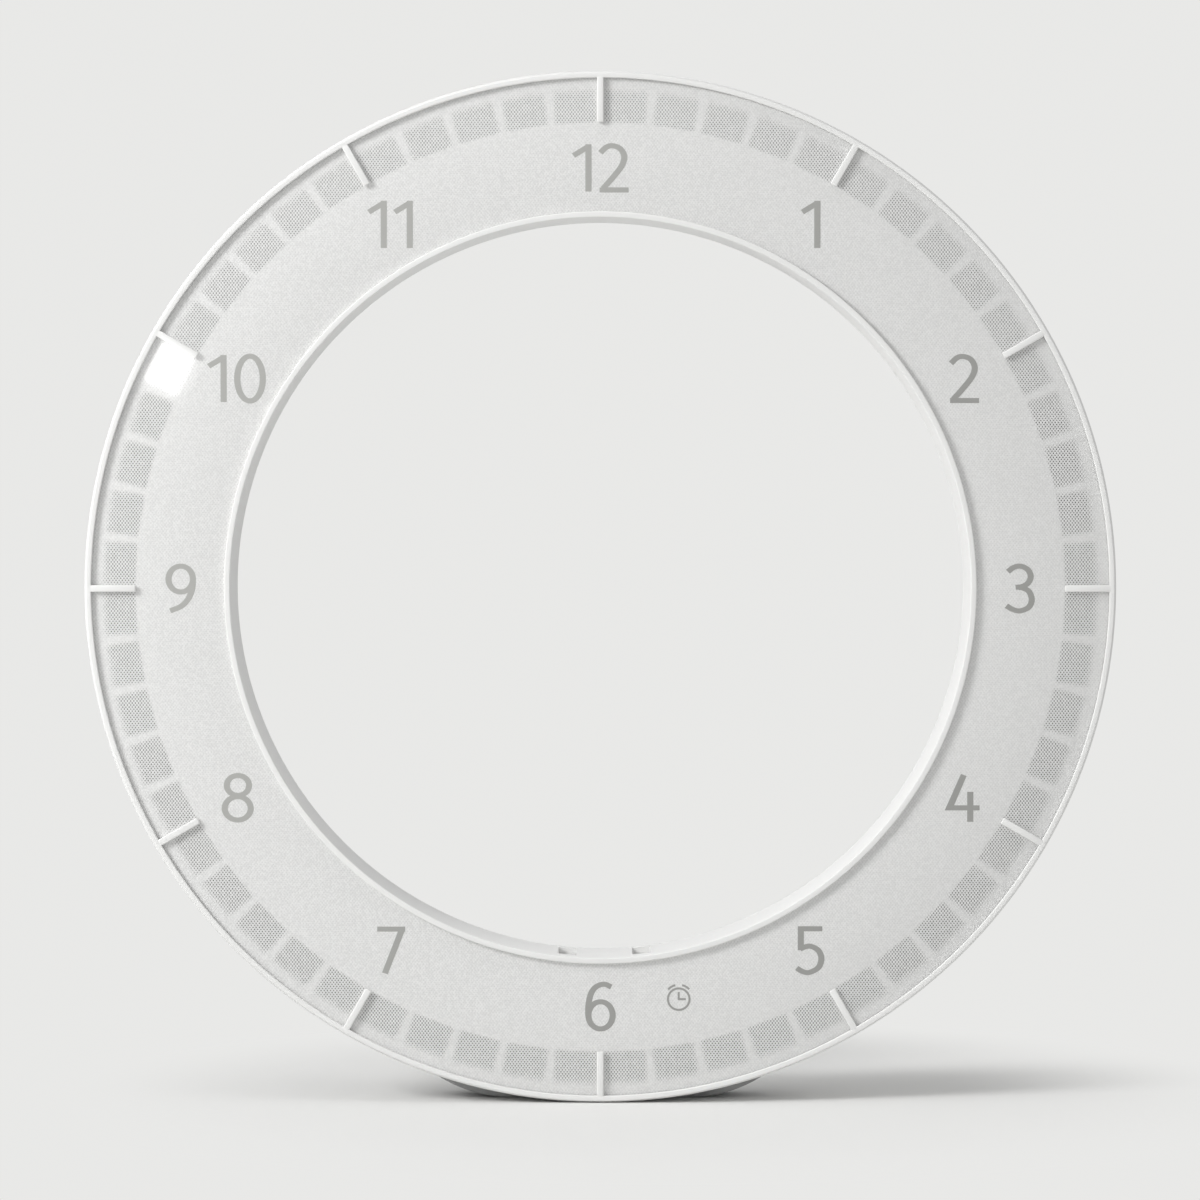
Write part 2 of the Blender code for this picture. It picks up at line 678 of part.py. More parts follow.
def smooth_path(points, steps=3):
    """Catmull-Rom curve through the points."""
    points = [Vector(point) for point in points]
    first = points[0] * 2 - points[1]
    last = points[-1] * 2 - points[-2]
    guides = [first] + points + [last]
    path = []
    for index in range(1, len(guides) - 2):
        before, start, end, after = guides[index - 1:index + 3]
        for step in range(steps):
            share = step / steps
            pull = (end - before) * share
            bend = (before * 2 - start * 5 + end * 4 - after) * share ** 2
            turn = (start * 3 - before - end * 3 + after) * share ** 3
            path.append((start * 2 + pull + bend + turn) / 2)
    path.append(points[-1])
    return path


def pen_outlines(path, pen, closed=False):
    """Outlines of a stroke drawn along a path with an oval pen of (width, height)."""
    count = len(path)
    left = []
    right = []
    for index, point in enumerate(path):
        before = path[index - 1] if closed or index else point
        after = path[(index + 1) % count] if closed or index < count - 1 else point
        ways = [way.normalized() for way in (point - before, after - point) if way.length > 0.0]
        normals = [Vector((-way.y, way.x)) for way in ways]
        mitre = sum(normals, Vector((0.0, 0.0))) / len(normals)
        mitre = mitre / mitre.length_squared
        reach = Vector((mitre.x * pen[0] / 2, mitre.y * pen[1] / 2))
        left.append(point + reach)
        right.append(point - reach)
    return [left, right] if closed else [left + right[::-1]]


def stroke_outlines(stroke):
    """Outlines of one stroke of a digit, centred on the digit."""
    kind, *points = stroke
    points = [Vector(point) * NUMERAL_HEIGHT for point in points]
    pen = (STEM_SHARE * NUMERAL_HEIGHT, HAIRLINE_SHARE * NUMERAL_HEIGHT)
    if kind == "oval":
        centre, radii = points
        ring = circle(1.0, ROUND_STEPS)
        path = [centre + Vector((place.x * radii.x, place.y * radii.y)) for place in ring]
        return pen_outlines(path, pen, closed=True)
    if kind == "curve":
        points = smooth_path(points, steps=2)
    return pen_outlines(points, pen)


def digit_mesh(digit):
    """Solid of a printed digit, its strokes joined."""
    meshes = [
        flat(stroke_outlines(stroke), -PRINT_ROOT, PRINT_RELIEF) for stroke in DIGIT_SHARES[digit]
    ]
    helper = bpy.data.objects.new("digit_" + digit, meshes[0])
    CUTTERS.objects.link(helper)
    others = []
    for mesh in meshes[1:]:
        other = bpy.data.objects.new("stroke", mesh)
        CUTTERS.objects.link(other)
        join = helper.modifiers.new("Join", "BOOLEAN")
        join.operation = "UNION"
        join.solver = "EXACT"
        join.object = other
        others.append(other)
    mesh = evaluated_mesh(helper)
    for other in others:
        bpy.data.objects.remove(other, do_unlink=True)
    return welded(mesh)


def add_copy(work, mesh, x, y):
    """Adds a copy of a printed mark at its place on the front of the cloth."""
    single = mesh.copy()
    single.transform(Matrix.Translation((x, y, FABRIC_FRONT)))
    work.from_mesh(single)
    bpy.data.meshes.remove(single)


def print_numerals(work):
    digits = {digit: digit_mesh(digit) for digit in DIGIT_SHARES}
    for hour, digit_places in HOUR_SHARES.items():
        x, y = polar(NUMERAL_RADIUS, UP - hour * HOUR_STEP)
        for digit, share in digit_places:
            add_copy(work, digits[digit], x + share * NUMERAL_HEIGHT, y)


def print_alarm_icon(work):
    """Pictogram of an alarm clock: a ring, two hands and two bells."""
    x, y = polar(NUMERAL_RADIUS, ICON_ANGLE)
    pen = (ICON_LINE, ICON_LINE)
    hands = [Vector((0.0, ICON_HAND_LENGTH)), Vector((0.0, 0.0)), Vector((ICON_HAND_LENGTH, 0.0))]
    shapes = [
        pen_outlines(circle(ICON_RADIUS, ROUND_STEPS), pen, closed=True),
        pen_outlines(hands, pen),
        pen_outlines(arc(ICON_ARC_RADIUS, BELL_START, BELL_END, BELL_STEPS), pen),
        pen_outlines(arc(ICON_ARC_RADIUS, 2 * UP - BELL_END, 2 * UP - BELL_START, BELL_STEPS), pen),
    ]
    for outlines in shapes:
        add_copy(work, flat(outlines, -PRINT_ROOT, PRINT_RELIEF), x, y)


def make_dial_fabric():
    """Cloth of the dial with its printed numerals and pictogram."""
    outlines = [circle(DIAL_OUTER, RING_STEPS), circle(DIAL_INNER, RING_STEPS)]
    fabric = add_part("dial_fabric", flat(outlines, FABRIC_BACK, FABRIC_FRONT), WHITE_CLOTH)
    work = bmesh.new()
    print_numerals(work)
    print_alarm_icon(work)
    combine(fabric, finished_mesh(work, "print"), "UNION")


def lamp_angles(count=LAMP_COUNT, first=0):
    return [(first + index + 0.5) * LAMP_STEP for index in range(count)]


def make_window_plate():
    """Carrier of the cloth, with sixty windows."""
    outlines = [circle(DIAL_OUTER, RING_STEPS), circle(DIAL_INNER, RING_STEPS)]
    for angle in lamp_angles():
        outlines.append(spoke_rectangle(WINDOW_INNER_RADIUS, WINDOW_OUTER_RADIUS, WINDOW_WIDTH, angle))
    add_part("window_plate", flat(outlines, PLATE_BACK, PLATE_FRONT), GREY_PLATE)


def make_light_diffuser():
    inner = WINDOW_INNER_RADIUS - DIFFUSER_LAP
    outer = WINDOW_OUTER_RADIUS + DIFFUSER_LAP
    outlines = [circle(outer, RING_STEPS), circle(inner, RING_STEPS)]
    add_part("light_diffuser", flat(outlines, DIFFUSER_BACK, DIFFUSER_FRONT), MILKY_SHEET)


def lamp_screw_places():
    return [polar(LAMP_SCREW_RADIUS, (quarter + 0.5) * ARC_STEP) for quarter in range(ARC_COUNT)]


def make_light_grid():
    """Ring of sixty open cells that keep each lamp's light to its own window."""
    outlines = [circle(GRID_OUTER, RING_STEPS), circle(GRID_INNER, RING_STEPS)]
    inner = WINDOW_INNER_RADIUS - CELL_MARGIN
    outer = WINDOW_OUTER_RADIUS + CELL_MARGIN
    for angle in lamp_angles():
        outlines.append(spoke_rectangle(inner, outer, WINDOW_WIDTH + CELL_MARGIN * 2, angle))
    for place in lamp_screw_places():
        outlines.append(circle(SMALL_PILOT_RADIUS, SMALL_STEPS, place))
    add_part("light_grid", flat(outlines, GRID_BACK, GRID_FRONT), WHITE_SHELL)


def make_led_boards():
    """Four quarter boards, each with fifteen lamps soldered to its front."""
    trim = math.degrees(FIT_GAP / 2 / GRID_INNER)
    lamps_per_board = LAMP_COUNT // ARC_COUNT
    low = (LAMP_RADIUS - LAMP_SIZE / 2, -LAMP_SIZE / 2, LAMP_BOARD_FRONT - JOIN_OVERLAP)
    high = (LAMP_RADIUS + LAMP_SIZE / 2, LAMP_SIZE / 2, LAMP_BOARD_FRONT + LAMP_HEIGHT)
    for quarter, place in enumerate(lamp_screw_places()):
        start = quarter * ARC_STEP
        outlines = [
            sector(GRID_INNER, GRID_OUTER, start + trim, start + ARC_STEP - trim, lamps_per_board),
            circle(SMALL_PILOT_RADIUS, SMALL_STEPS, place),
        ]
        mesh = flat(outlines, LAMP_BOARD_BACK, LAMP_BOARD_FRONT)
        board = add_part(f"led_board_{quarter + 1}", mesh, WHITE_BOARD)
        lamps = bmesh.new()
        for angle in lamp_angles(lamps_per_board, quarter * lamps_per_board):
            add_box(lamps, low, high, Matrix.Rotation(math.radians(angle), 4, "Z"))
        combine(board, finished_mesh(lamps, "lamps"), "UNION")


def make_led_links():
    """Flat links that carry power and data from one quarter board to the next."""
    link = block((LINK_WIDTH, LINK_LENGTH), LINK_THICKNESS)
    level = LAMP_BOARD_BACK - FIT_GAP - LINK_THICKNESS
    for number in range(1, ARC_COUNT):
        x, y = polar(LAMP_RADIUS, number * ARC_STEP)
        turn = (0.0, 0.0, math.radians(number * ARC_STEP))
        add_part(f"led_link_{number}", link, GOLD_LINK, (x, y, level), turn)


def foot_screw_angles():
    return (DOWN - FOOT_SCREW_HALF_ANGLE, DOWN + FOOT_SCREW_HALF_ANGLE)


def foot_screw_holes(start, end):
    """Holes through the body's wall into the foot, one on each side of the ring's lowest point."""
    holes = []
    for angle in foot_screw_angles():
        low = polar(start, angle)
        high = polar(end, angle)
        holes.append((PILOT_RADIUS, (*low, foot_middle()), (*high, foot_middle())))
    return holes


def make_main_body():
    """Wall ring between bezel and cover, with a flange in front and bosses for the cover's screws."""
    flange_back = FIT_GAP - BEZEL_DEPTH
    profile = [
        (DIAL_OUTER, DIFFUSER_FRONT),
        (DIAL_OUTER, flange_back),
        (BODY_OUTER, flange_back),
        (BODY_OUTER, SHELL_BACK),
        (BODY_INNER, SHELL_BACK),
        (BODY_INNER, DIFFUSER_FRONT),
    ]
    body = add_part("main_body", turned(profile, RING_STEPS), WHITE_SHELL)
    bosses, pilots = screw_bosses(COVER_SCREW_RADIUS, COVER_SCREW_ANGLES)
    holes = foot_screw_holes(BODY_INNER - CUT_OVERRUN, BODY_OUTER + CUT_OVERRUN)
    combine(body, rods_mesh(bosses), "UNION")
    combine(body, rods_mesh(pilots + holes), "DIFFERENCE")


def control_screw_places():
    radii = (CONTROL_INNER_RADIUS + CONTROL_POST_INSET, CONTROL_OUTER_RADIUS - CONTROL_POST_INSET)
    angles = (DOWN - CONTROL_SCREW_HALF_ANGLE, DOWN + CONTROL_SCREW_HALF_ANGLE)
    return [polar(radius, angle) for radius in radii for angle in angles]


def hanger_screw_places():
    across = HANGER_SIZE[0] / 2 - HANGER_SCREW_INSET
    return [(-across, HANGER_RADIUS), (across, HANGER_RADIUS)]


def make_rear_cover():
    """Annular back with posts for the control board, screw seats and the openings."""
    profile = [
        (BODY_OUTER, COVER_FRONT),
        (BODY_OUTER, COVER_BACK + COVER_ROUNDING),
        (BODY_OUTER - COVER_ROUNDING, COVER_BACK),
        (HOLE_RADIUS + COVER_ROUNDING, COVER_BACK),
        (HOLE_RADIUS, COVER_BACK + COVER_ROUNDING),
        (HOLE_RADIUS, COVER_FRONT),
    ]
    cover = add_part("rear_cover", turned(profile, RING_STEPS), WHITE_SHELL)
    post_root = COVER_FRONT - JOIN_OVERLAP
    posts = []
    cuts = []
    for x, y in control_screw_places():
        post_end = COMPONENT_SEAT
        posts.append((CONTROL_POST_RADIUS, (x, y, post_root), (x, y, post_end)))
        cuts.append((SMALL_PILOT_RADIUS, (x, y, COVER_FRONT), (x, y, post_end + CUT_OVERRUN)))
    seats = [polar(COVER_SCREW_RADIUS, angle) for angle in COVER_SCREW_ANGLES]
    seats += [polar(SLEEVE_SCREW_RADIUS, angle) for angle in SLEEVE_SCREW_ANGLES]
    bores = []
    for x, y in seats:
        head = COVER_SCREW_HEAD_RADIUS + FIT_GAP
        bores.append((head, (x, y, COVER_BACK - CUT_OVERRUN), (x, y, COUNTERBORE_FLOOR)))
        cuts.append((PILOT_RADIUS, (x, y, COVER_BACK - CUT_OVERRUN), (x, y, COVER_FRONT + CUT_OVERRUN)))
    for x, y in hanger_screw_places():
        pilot_end = SHELL_BACK + HANGER_THICKNESS - HANGER_SCREW_LENGTH
        cuts.append((SMALL_PILOT_RADIUS, (x, y, pilot_end), (x, y, COVER_FRONT + CUT_OVERRUN)))
    for x, y in sound_hole_places():
        start = (x, y, COVER_BACK - CUT_OVERRUN)
        cuts.append((SOUND_HOLE_RADIUS, start, (x, y, COVER_FRONT + CUT_OVERRUN)))
    combine(cover, rods_mesh(posts), "UNION")
    combine(cover, rods_mesh(bores), "DIFFERENCE")
    combine(cover, rods_mesh(cuts), "DIFFERENCE")
    corner = SOCKET_SIZE[1] / 2
    opening = rounded_rectangle(
        SOCKET_SIZE[0] + SOCKET_CLEARANCE * 2,
        SOCKET_SIZE[1] + SOCKET_CLEARANCE * 2,
        corner,
        (0.0, -COMPONENT_RADIUS),
    )
    back = COVER_BACK - CUT_OVERRUN
    front = COVER_FRONT + CUT_OVERRUN
    combine(cover, flat([opening], back, front), "DIFFERENCE")
    combine(cover, flat([keyhole_outline(HANGER_OPENING_MARGIN)], back, front), "DIFFERENCE")


def sound_hole_places():
    centre = Vector((-BUZZER_PLACE, -COMPONENT_RADIUS))
    return [centre] + circle(SOUND_HOLE_PITCH, 6, centre)


def keyhole_outline(margin=0.0):
    """Round entry below and a round-ended slot above it, widened by a margin."""
    entry = KEYHOLE_ENTRY_RADIUS + margin
    half_slot = KEYHOLE_SLOT_WIDTH / 2 + margin
    spread = math.degrees(math.asin(half_slot / entry))
    low = (0.0, HANGER_RADIUS - KEYHOLE_ENTRY_DROP)
    high = (0.0, HANGER_RADIUS + KEYHOLE_SLOT_RISE)
    points = arc(entry, UP + spread, UP + FULL_TURN - spread, ROUND_STEPS, low)
    return points + arc(half_slot, 0.0, 2 * UP, SMALL_STEPS, high)


def make_cover_screws():
    places = [polar(COVER_SCREW_RADIUS, angle) for angle in COVER_SCREW_ANGLES]
    add_screws("cover_screw", cover_screw(), places, COVER_SCREW_SEAT)
    places = [polar(SLEEVE_SCREW_RADIUS, angle) for angle in SLEEVE_SCREW_ANGLES]
    add_screws("sleeve_screw", cover_screw(), places, COVER_SCREW_SEAT)


def make_hanger():
    """Steel plate with the keyhole, screwed to the inside of the cover."""
    back = SHELL_BACK
    front = back + HANGER_THICKNESS
    outlines = [
        rounded_rectangle(*HANGER_SIZE, HANGER_CORNER, (0.0, HANGER_RADIUS)),
        keyhole_outline(),
    ]
    for place in hanger_screw_places():
        outlines.append(circle(SMALL_PILOT_RADIUS, SMALL_STEPS, place))
    add_part("hanger_plate", flat(outlines, back, front), STEEL)
    screw = small_screw(HANGER_SCREW_LENGTH)
    add_screws("hanger_screw", screw, hanger_screw_places(), front + FIT_GAP, HEAD_TO_FRONT)


def foot_front():
    return -(BEZEL_DEPTH + BEZEL_LIP_THICKNESS + FIT_GAP)


def foot_back():
    return COVER_FRONT


def foot_middle():
    return (foot_front() + foot_back()) / 2


def make_foot():
    """Rubber foot with a flat sole that rises in an arc to meet the body on each side."""
    saddle = BODY_OUTER + FIT_GAP
    centre = Vector((FOOT_FLAT_HALF, FOOT_SIDE_RADIUS - RING_RADIUS))
    reach = centre.length
    along = (saddle ** 2 - FOOT_SIDE_RADIUS ** 2 + reach ** 2) / (2 * reach)
    across = math.sqrt(saddle ** 2 - along ** 2)
    way = centre.normalized()
    tip = way * along + Vector((-way.y, way.x)) * across
    side_angle = math.degrees(math.atan2(tip.y - centre.y, tip.x - centre.x))
    tip_angle = math.degrees(math.atan2(tip.y, tip.x))
    side = arc(FOOT_SIDE_RADIUS, DOWN, side_angle, SMALL_STEPS, centre)
    saddle_points = arc(saddle, tip_angle, 2 * DOWN - tip_angle, ROUND_STEPS)
    mirrored = [Vector((-point.x, point.y)) for point in reversed(side)]
    outline = side[:-1] + saddle_points + mirrored[1:]
    foot = add_part("foot", flat([outline], foot_back(), foot_front()), DARK_RUBBER)
    seat = BODY_INNER - FIT_GAP
    holes = foot_screw_holes(BODY_INNER, seat + FOOT_SCREW_LENGTH + FIT_GAP)
    combine(foot, rods_mesh(holes), "DIFFERENCE")
    screw = cover_screw(FOOT_SCREW_LENGTH)
    for number, angle in enumerate(foot_screw_angles(), start=1):
        turn = (math.radians(UP), 0.0, math.radians(angle - UP))
        place = (*polar(seat, angle), foot_middle())
        add_part(f"foot_screw_{number}", screw, STEEL, place, turn)


def make_control_board():
    start = DOWN - CONTROL_HALF_ANGLE
    end = DOWN + CONTROL_HALF_ANGLE
    outlines = [sector(CONTROL_INNER_RADIUS, CONTROL_OUTER_RADIUS, start, end, ROUND_STEPS)]
    for place in control_screw_places():
        outlines.append(circle(SMALL_PILOT_RADIUS, SMALL_STEPS, place))
    add_part("control_board", flat(outlines, CONTROL_BACK, CONTROL_FRONT), GREEN_BOARD)
    seat = CONTROL_FRONT + FIT_GAP
    add_screws("control_board_screw", small_screw(), control_screw_places(), seat, HEAD_TO_FRONT)


def add_component(name, mesh, finish, x, rise=0.0):
    """Component on the rear of the control board, modelled standing up and turned over."""
    place = (x, rise - COMPONENT_RADIUS, COMPONENT_SEAT)
    return add_part(name, mesh, finish, place, (math.pi, 0.0, 0.0))


def block(size, height):
    return boxes_mesh([((-size[0] / 2, -size[1] / 2, 0.0), (size[0] / 2, size[1] / 2, height))])


def make_chips():
    add_component("microcontroller", block((CHIP_SIZE, CHIP_SIZE), CHIP_HEIGHT), BLACK_PLASTIC, CHIP_PLACE,
                  CHIP_SIZE / 2 + CONTROL_POST_INSET - COMPONENT_INSET)
    add_component("voltage_regulator", block(REGULATOR_SIZE, REGULATOR_HEIGHT), BLACK_PLASTIC,
                  REGULATOR_PLACE[0] - CONTROL_SCREW_PLACE, REGULATOR_PLACE[1])
    can = rounded_rectangle(*CRYSTAL_SIZE, CRYSTAL_CORNER)
    add_component("clock_crystal", flat([can], 0.0, CRYSTAL_HEIGHT), STEEL, *CRYSTAL_PLACE)


def make_power_capacitor():
    rounding = RIM_ROUNDING
    profile = [
        (0.0, CAPACITOR_HEIGHT),
        (CAPACITOR_RADIUS - rounding, CAPACITOR_HEIGHT),
        (CAPACITOR_RADIUS, CAPACITOR_HEIGHT - rounding),
        (CAPACITOR_RADIUS, 0.0),
        (0.0, 0.0),
    ]
    add_component("power_capacitor", turned(profile, ROUND_STEPS), ALUMINIUM_CAN, -CAPACITOR_PLACE)


def make_buzzer():
    rounding = RIM_ROUNDING
    profile = [
        (0.0, BUZZER_HEIGHT - BUZZER_PORT_DEPTH),
        (BUZZER_PORT_RADIUS, BUZZER_HEIGHT - BUZZER_PORT_DEPTH),
        (BUZZER_PORT_RADIUS, BUZZER_HEIGHT),
        (BUZZER_RADIUS - rounding, BUZZER_HEIGHT),
        (BUZZER_RADIUS, BUZZER_HEIGHT - rounding),
        (BUZZER_RADIUS, 0.0),
        (0.0, 0.0),
    ]
    add_component("buzzer", turned(profile, ROUND_STEPS), BLACK_PLASTIC, -BUZZER_PLACE)


def make_backup_cell():
    """Coin cell that keeps the time, in its holder."""
    seat = HOLDER_HEIGHT - CELL_THICKNESS
    solid = block(HOLDER_SIZE, HOLDER_HEIGHT)
    holder = add_component("cell_holder", solid, BLACK_PLASTIC, *HOLDER_PLACE)
    pocket = bmesh.new()
    start = (0.0, 0.0, seat - FIT_GAP)
    add_rod(pocket, CELL_RADIUS + FIT_GAP, start, (0.0, 0.0, HOLDER_HEIGHT + CUT_OVERRUN), ROUND_STEPS)
    combine(holder, finished_mesh(pocket, "pocket"), "DIFFERENCE")
    cell = bmesh.new()
    add_rod(cell, CELL_RADIUS, (0.0, 0.0, seat), (0.0, 0.0, HOLDER_HEIGHT), ROUND_STEPS)
    add_component("backup_cell", finished_mesh(cell, "cell"), STEEL, *HOLDER_PLACE)


def make_power_socket():
    """Upright inlet with its tongue, which reaches out through the cover."""
    width, height = SOCKET_SIZE
    mouth = COMPONENT_SEAT - COVER_BACK - SOCKET_RECESS
    floor = mouth - SOCKET_BORE_DEPTH
    corner = height / 2 - SOCKET_WALL
    shell = rounded_rectangle(width, height, corner)
    socket = add_component("power_socket", flat([shell], 0.0, mouth), STEEL, 0.0)
    bore_width = width - SOCKET_WALL * 2
    bore_height = height - SOCKET_WALL * 2
    bore = rounded_rectangle(bore_width, bore_height, corner - SOCKET_WALL)
    combine(socket, flat([bore], floor, mouth + CUT_OVERRUN), "DIFFERENCE")
    tongue = boxes_mesh([(
        (-TONGUE_SIZE[0] / 2, -TONGUE_SIZE[1] / 2, floor - JOIN_OVERLAP),
        (TONGUE_SIZE[0] / 2, TONGUE_SIZE[1] / 2, mouth - TONGUE_SHORTFALL),
    )])
    combine(socket, tongue, "UNION")


def make_led_connector():
    """Board-to-board connector between the control board and the lamp boards."""
    x = -CONNECTOR_PLACE
    y = -COMPONENT_RADIUS
    across, along = CONNECTOR_SIZE
    low = (x - across / 2, y - along / 2, CONTROL_FRONT + FIT_GAP)
    high = (x + across / 2, y + along / 2, LAMP_BOARD_BACK - FIT_GAP)
    add_part("led_connector", boxes_mesh([(low, high)]), BLACK_PLASTIC)


def make_button(name):
    """Key cap with its retaining flange and plunger; its origin is on its line of travel."""
    x = BUTTON_PLACES[name]
    axis = new_frame(name + "_button_axis", (x, CAP_TOP, WELL_MIDDLE), (0.0, 0.0, 0.0), DIAL_AXIS)
    half_width = WELL_WIDTH / 2 - FIT_GAP
    half_length = (WELL_FRONT - WELL_BACK) / 2 - FIT_GAP
    flange_width = half_width + CAP_FLANGE_WIDTH
    flange_length = half_length + CAP_FLANGE_WIDTH
    top = CAP_FLANGE_TOP - CAP_TOP
    bottom = CAP_FLANGE_BOTTOM - CAP_TOP
    middle = (top + bottom) / 2
    flange = boxes_mesh([((-flange_width, bottom, -flange_length), (flange_width, top, flange_length))])
    button = add_part(name + "_button", flange, WHITE_KEY, parent=axis)
    key = boxes_mesh([((-half_width, middle, -half_length), (half_width, 0.0, half_length))])
    combine(button, key, "UNION")
    plunger = rods_mesh([(PLUNGER_RADIUS, (0.0, middle, 0.0), (0.0, PLUNGER_END - CAP_TOP, 0.0))])
    combine(button, plunger, "UNION")
    stem_top = STEM_TOP - CAP_TOP
    stem = rods_mesh([(STEM_RADIUS, (0.0, stem_top, 0.0), (0.0, stem_top - STEM_LENGTH, 0.0))])
    add_part(name + "_switch_stem", stem, BLACK_PLASTIC, parent=axis)


def make_switch_body(name):
    x = BUTTON_PLACES[name]
    half = SWITCH_SIZE / 2
    low = (x - half, SWITCH_BOTTOM, WELL_MIDDLE - half)
    high = (x + half, SWITCH_TOP, WELL_MIDDLE + half)
    case = boxes_mesh([(low, high)])
    body = add_part(name + "_switch_body", case, STEEL)
    start = (x, SWITCH_TOP - SWITCH_BORE_DEPTH, WELL_MIDDLE)
    end = (x, SWITCH_TOP + CUT_OVERRUN, WELL_MIDDLE)
    combine(body, rods_mesh([(STEM_RADIUS + FIT_GAP, start, end)]), "DIFFERENCE")


def make_button_board():
    """Small board under the switches, screwed to the sleeve's two posts."""
    half = BUTTON_BOARD_WIDTH / 2
    front = WELL_FRONT - BUTTON_BOARD_MARGIN
    back = WELL_BACK + BUTTON_BOARD_MARGIN
    x = BUTTON_PAIR_OFFSET
    low = (x - half, BUTTON_BOARD_BOTTOM, back)
    high = (x + half, BUTTON_BOARD_TOP, front)
    board = add_part("button_board", boxes_mesh([(low, high)]), GREEN_BOARD)
    top = BUTTON_BOARD_TOP + CUT_OVERRUN
    bottom = BUTTON_BOARD_BOTTOM - CUT_OVERRUN
    levels = button_post_levels()
    holes = [(SMALL_PILOT_RADIUS, (x, bottom, level), (x, top, level)) for level in levels]
    combine(board, rods_mesh(holes), "DIFFERENCE")
    screw = small_screw()
    for number, level in enumerate(levels, start=1):
        place = (x, BUTTON_BOARD_BOTTOM - FIT_GAP, level)
        add_part(f"button_board_screw_{number}", screw, STEEL, place, (math.radians(UP), 0.0, 0.0))


def make_button_ribbon():
    """Flat ribbon from the button board round to the rear of the control board."""
    start_y = BUTTON_BOARD_BOTTOM - FIT_GAP
    start_z = WELL_BACK + RIBBON_SETBACK
    end_y = -(CONTROL_INNER_RADIUS + CONTROL_POST_INSET)
    end_z = COMPONENT_SEAT
    path = [
        Vector((start_y, start_z)),
        Vector((end_y + RIBBON_BEND, start_z)),
        Vector((end_y, (start_z + end_z) / 2)),
        Vector((end_y, end_z)),
    ]
    outlines = pen_outlines(path, (RIBBON_THICKNESS, RIBBON_THICKNESS))
    mesh = flat(outlines, -RIBBON_WIDTH / 2, RIBBON_WIDTH / 2)
    mesh.transform(Matrix(((0, 0, 1, 0), (1, 0, 0, 0), (0, 1, 0, 0), (0, 0, 0, 1))))
    add_part("button_ribbon", mesh, GREY_RIBBON, (RIBBON_PLACE, 0.0, 0.0))


def make_clock():
    make_outer_bezel()
    make_inner_sleeve()
    make_dial_fabric()
    make_window_plate()
    make_light_diffuser()
    make_light_grid()
    make_led_boards()
    add_screws("led_board_screw", small_screw(), lamp_screw_places(), LAMP_BOARD_BACK - FIT_GAP)
    make_led_links()
    make_main_body()
    make_rear_cover()
    make_cover_screws()
    make_hanger()
    make_foot()
    make_control_board()
    make_chips()
    make_power_capacitor()
    make_buzzer()
    make_backup_cell()
    make_power_socket()
    make_led_connector()
    for name in BUTTON_PLACES:
        make_button(name)
        make_switch_body(name)
    make_button_board()
    make_button_ribbon()


make_clock()
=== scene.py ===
"""Looks of the ring-shaped clock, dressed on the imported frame.

Shapes are drawn in the dial's own frame: X to the right and Y up as seen from the front, Z towards
the viewer, and z = 0 on the front of the two rims. DIAL stands that frame upright on the floor.
All lengths are in metres and all angles in degrees.
"""

import math

import bmesh
import bpy
from mathutils import Matrix, Vector


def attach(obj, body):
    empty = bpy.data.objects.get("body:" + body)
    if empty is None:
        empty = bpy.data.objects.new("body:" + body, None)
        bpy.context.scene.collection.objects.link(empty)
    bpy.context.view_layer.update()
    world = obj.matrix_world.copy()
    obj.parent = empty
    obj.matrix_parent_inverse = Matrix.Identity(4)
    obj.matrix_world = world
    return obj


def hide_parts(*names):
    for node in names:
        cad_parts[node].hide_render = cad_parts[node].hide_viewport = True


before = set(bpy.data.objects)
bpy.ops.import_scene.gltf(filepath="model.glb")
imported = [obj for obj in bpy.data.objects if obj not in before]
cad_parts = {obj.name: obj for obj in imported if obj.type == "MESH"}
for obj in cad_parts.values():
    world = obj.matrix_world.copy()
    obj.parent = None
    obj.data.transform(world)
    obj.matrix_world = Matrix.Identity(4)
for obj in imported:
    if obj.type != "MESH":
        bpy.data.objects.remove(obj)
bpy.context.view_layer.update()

# Overall sizes and fits, as in the frame
RING_RADIUS = 0.150
RING_WIDTH = 0.0424
RING_DEPTH = 0.025
HOLE_RADIUS = RING_RADIUS - RING_WIDTH
FIT_GAP = 0.0003
CUT_OVERRUN = 0.001
JOIN_OVERLAP = 0.0006
HIDDEN_STEP = 0.000005
WELD_DISTANCE = 0.0000005

# Rims, hour bars and the bezel's rear lip
OUTER_RIM_WIDTH = 0.0021
BEZEL_WALL = 0.0015
INNER_RIM_WIDTH = 0.0017
RIM_ROUNDING = 0.00028
RIM_CHAMFER = (0.0007, 0.0019)
DIAL_RECESS = 0.0013
BAR_WIDTH = 0.00195
BAR_ROUNDING = 0.0003
BEZEL_DEPTH = 0.0085
BEZEL_LIP_THICKNESS = 0.0012
RIM_INNER = RING_RADIUS - OUTER_RIM_WIDTH
BEZEL_INNER = RING_RADIUS - BEZEL_WALL
SLEEVE_OUTER = HOLE_RADIUS + INNER_RIM_WIDTH

# Body ring, sleeve and rear cover
BODY_INSET = 0.0028
BODY_WALL = 0.0015
COVER_THICKNESS = 0.0023
COVER_ROUNDING = 0.0007
EDGE_ROUNDING = 0.0003
FLANGE_WIDTH = 0.0032
FLANGE_THICKNESS = 0.0012
BOSS_RADIUS = 0.0032
BOSS_HEIGHT = 0.0080
PILOT_RADIUS = 0.0015
BODY_OUTER = RING_RADIUS - BODY_INSET
BODY_INNER = BODY_OUTER - BODY_WALL
COVER_BACK = -RING_DEPTH
COVER_FRONT = COVER_BACK + COVER_THICKNESS
SHELL_BACK = COVER_FRONT + FIT_GAP

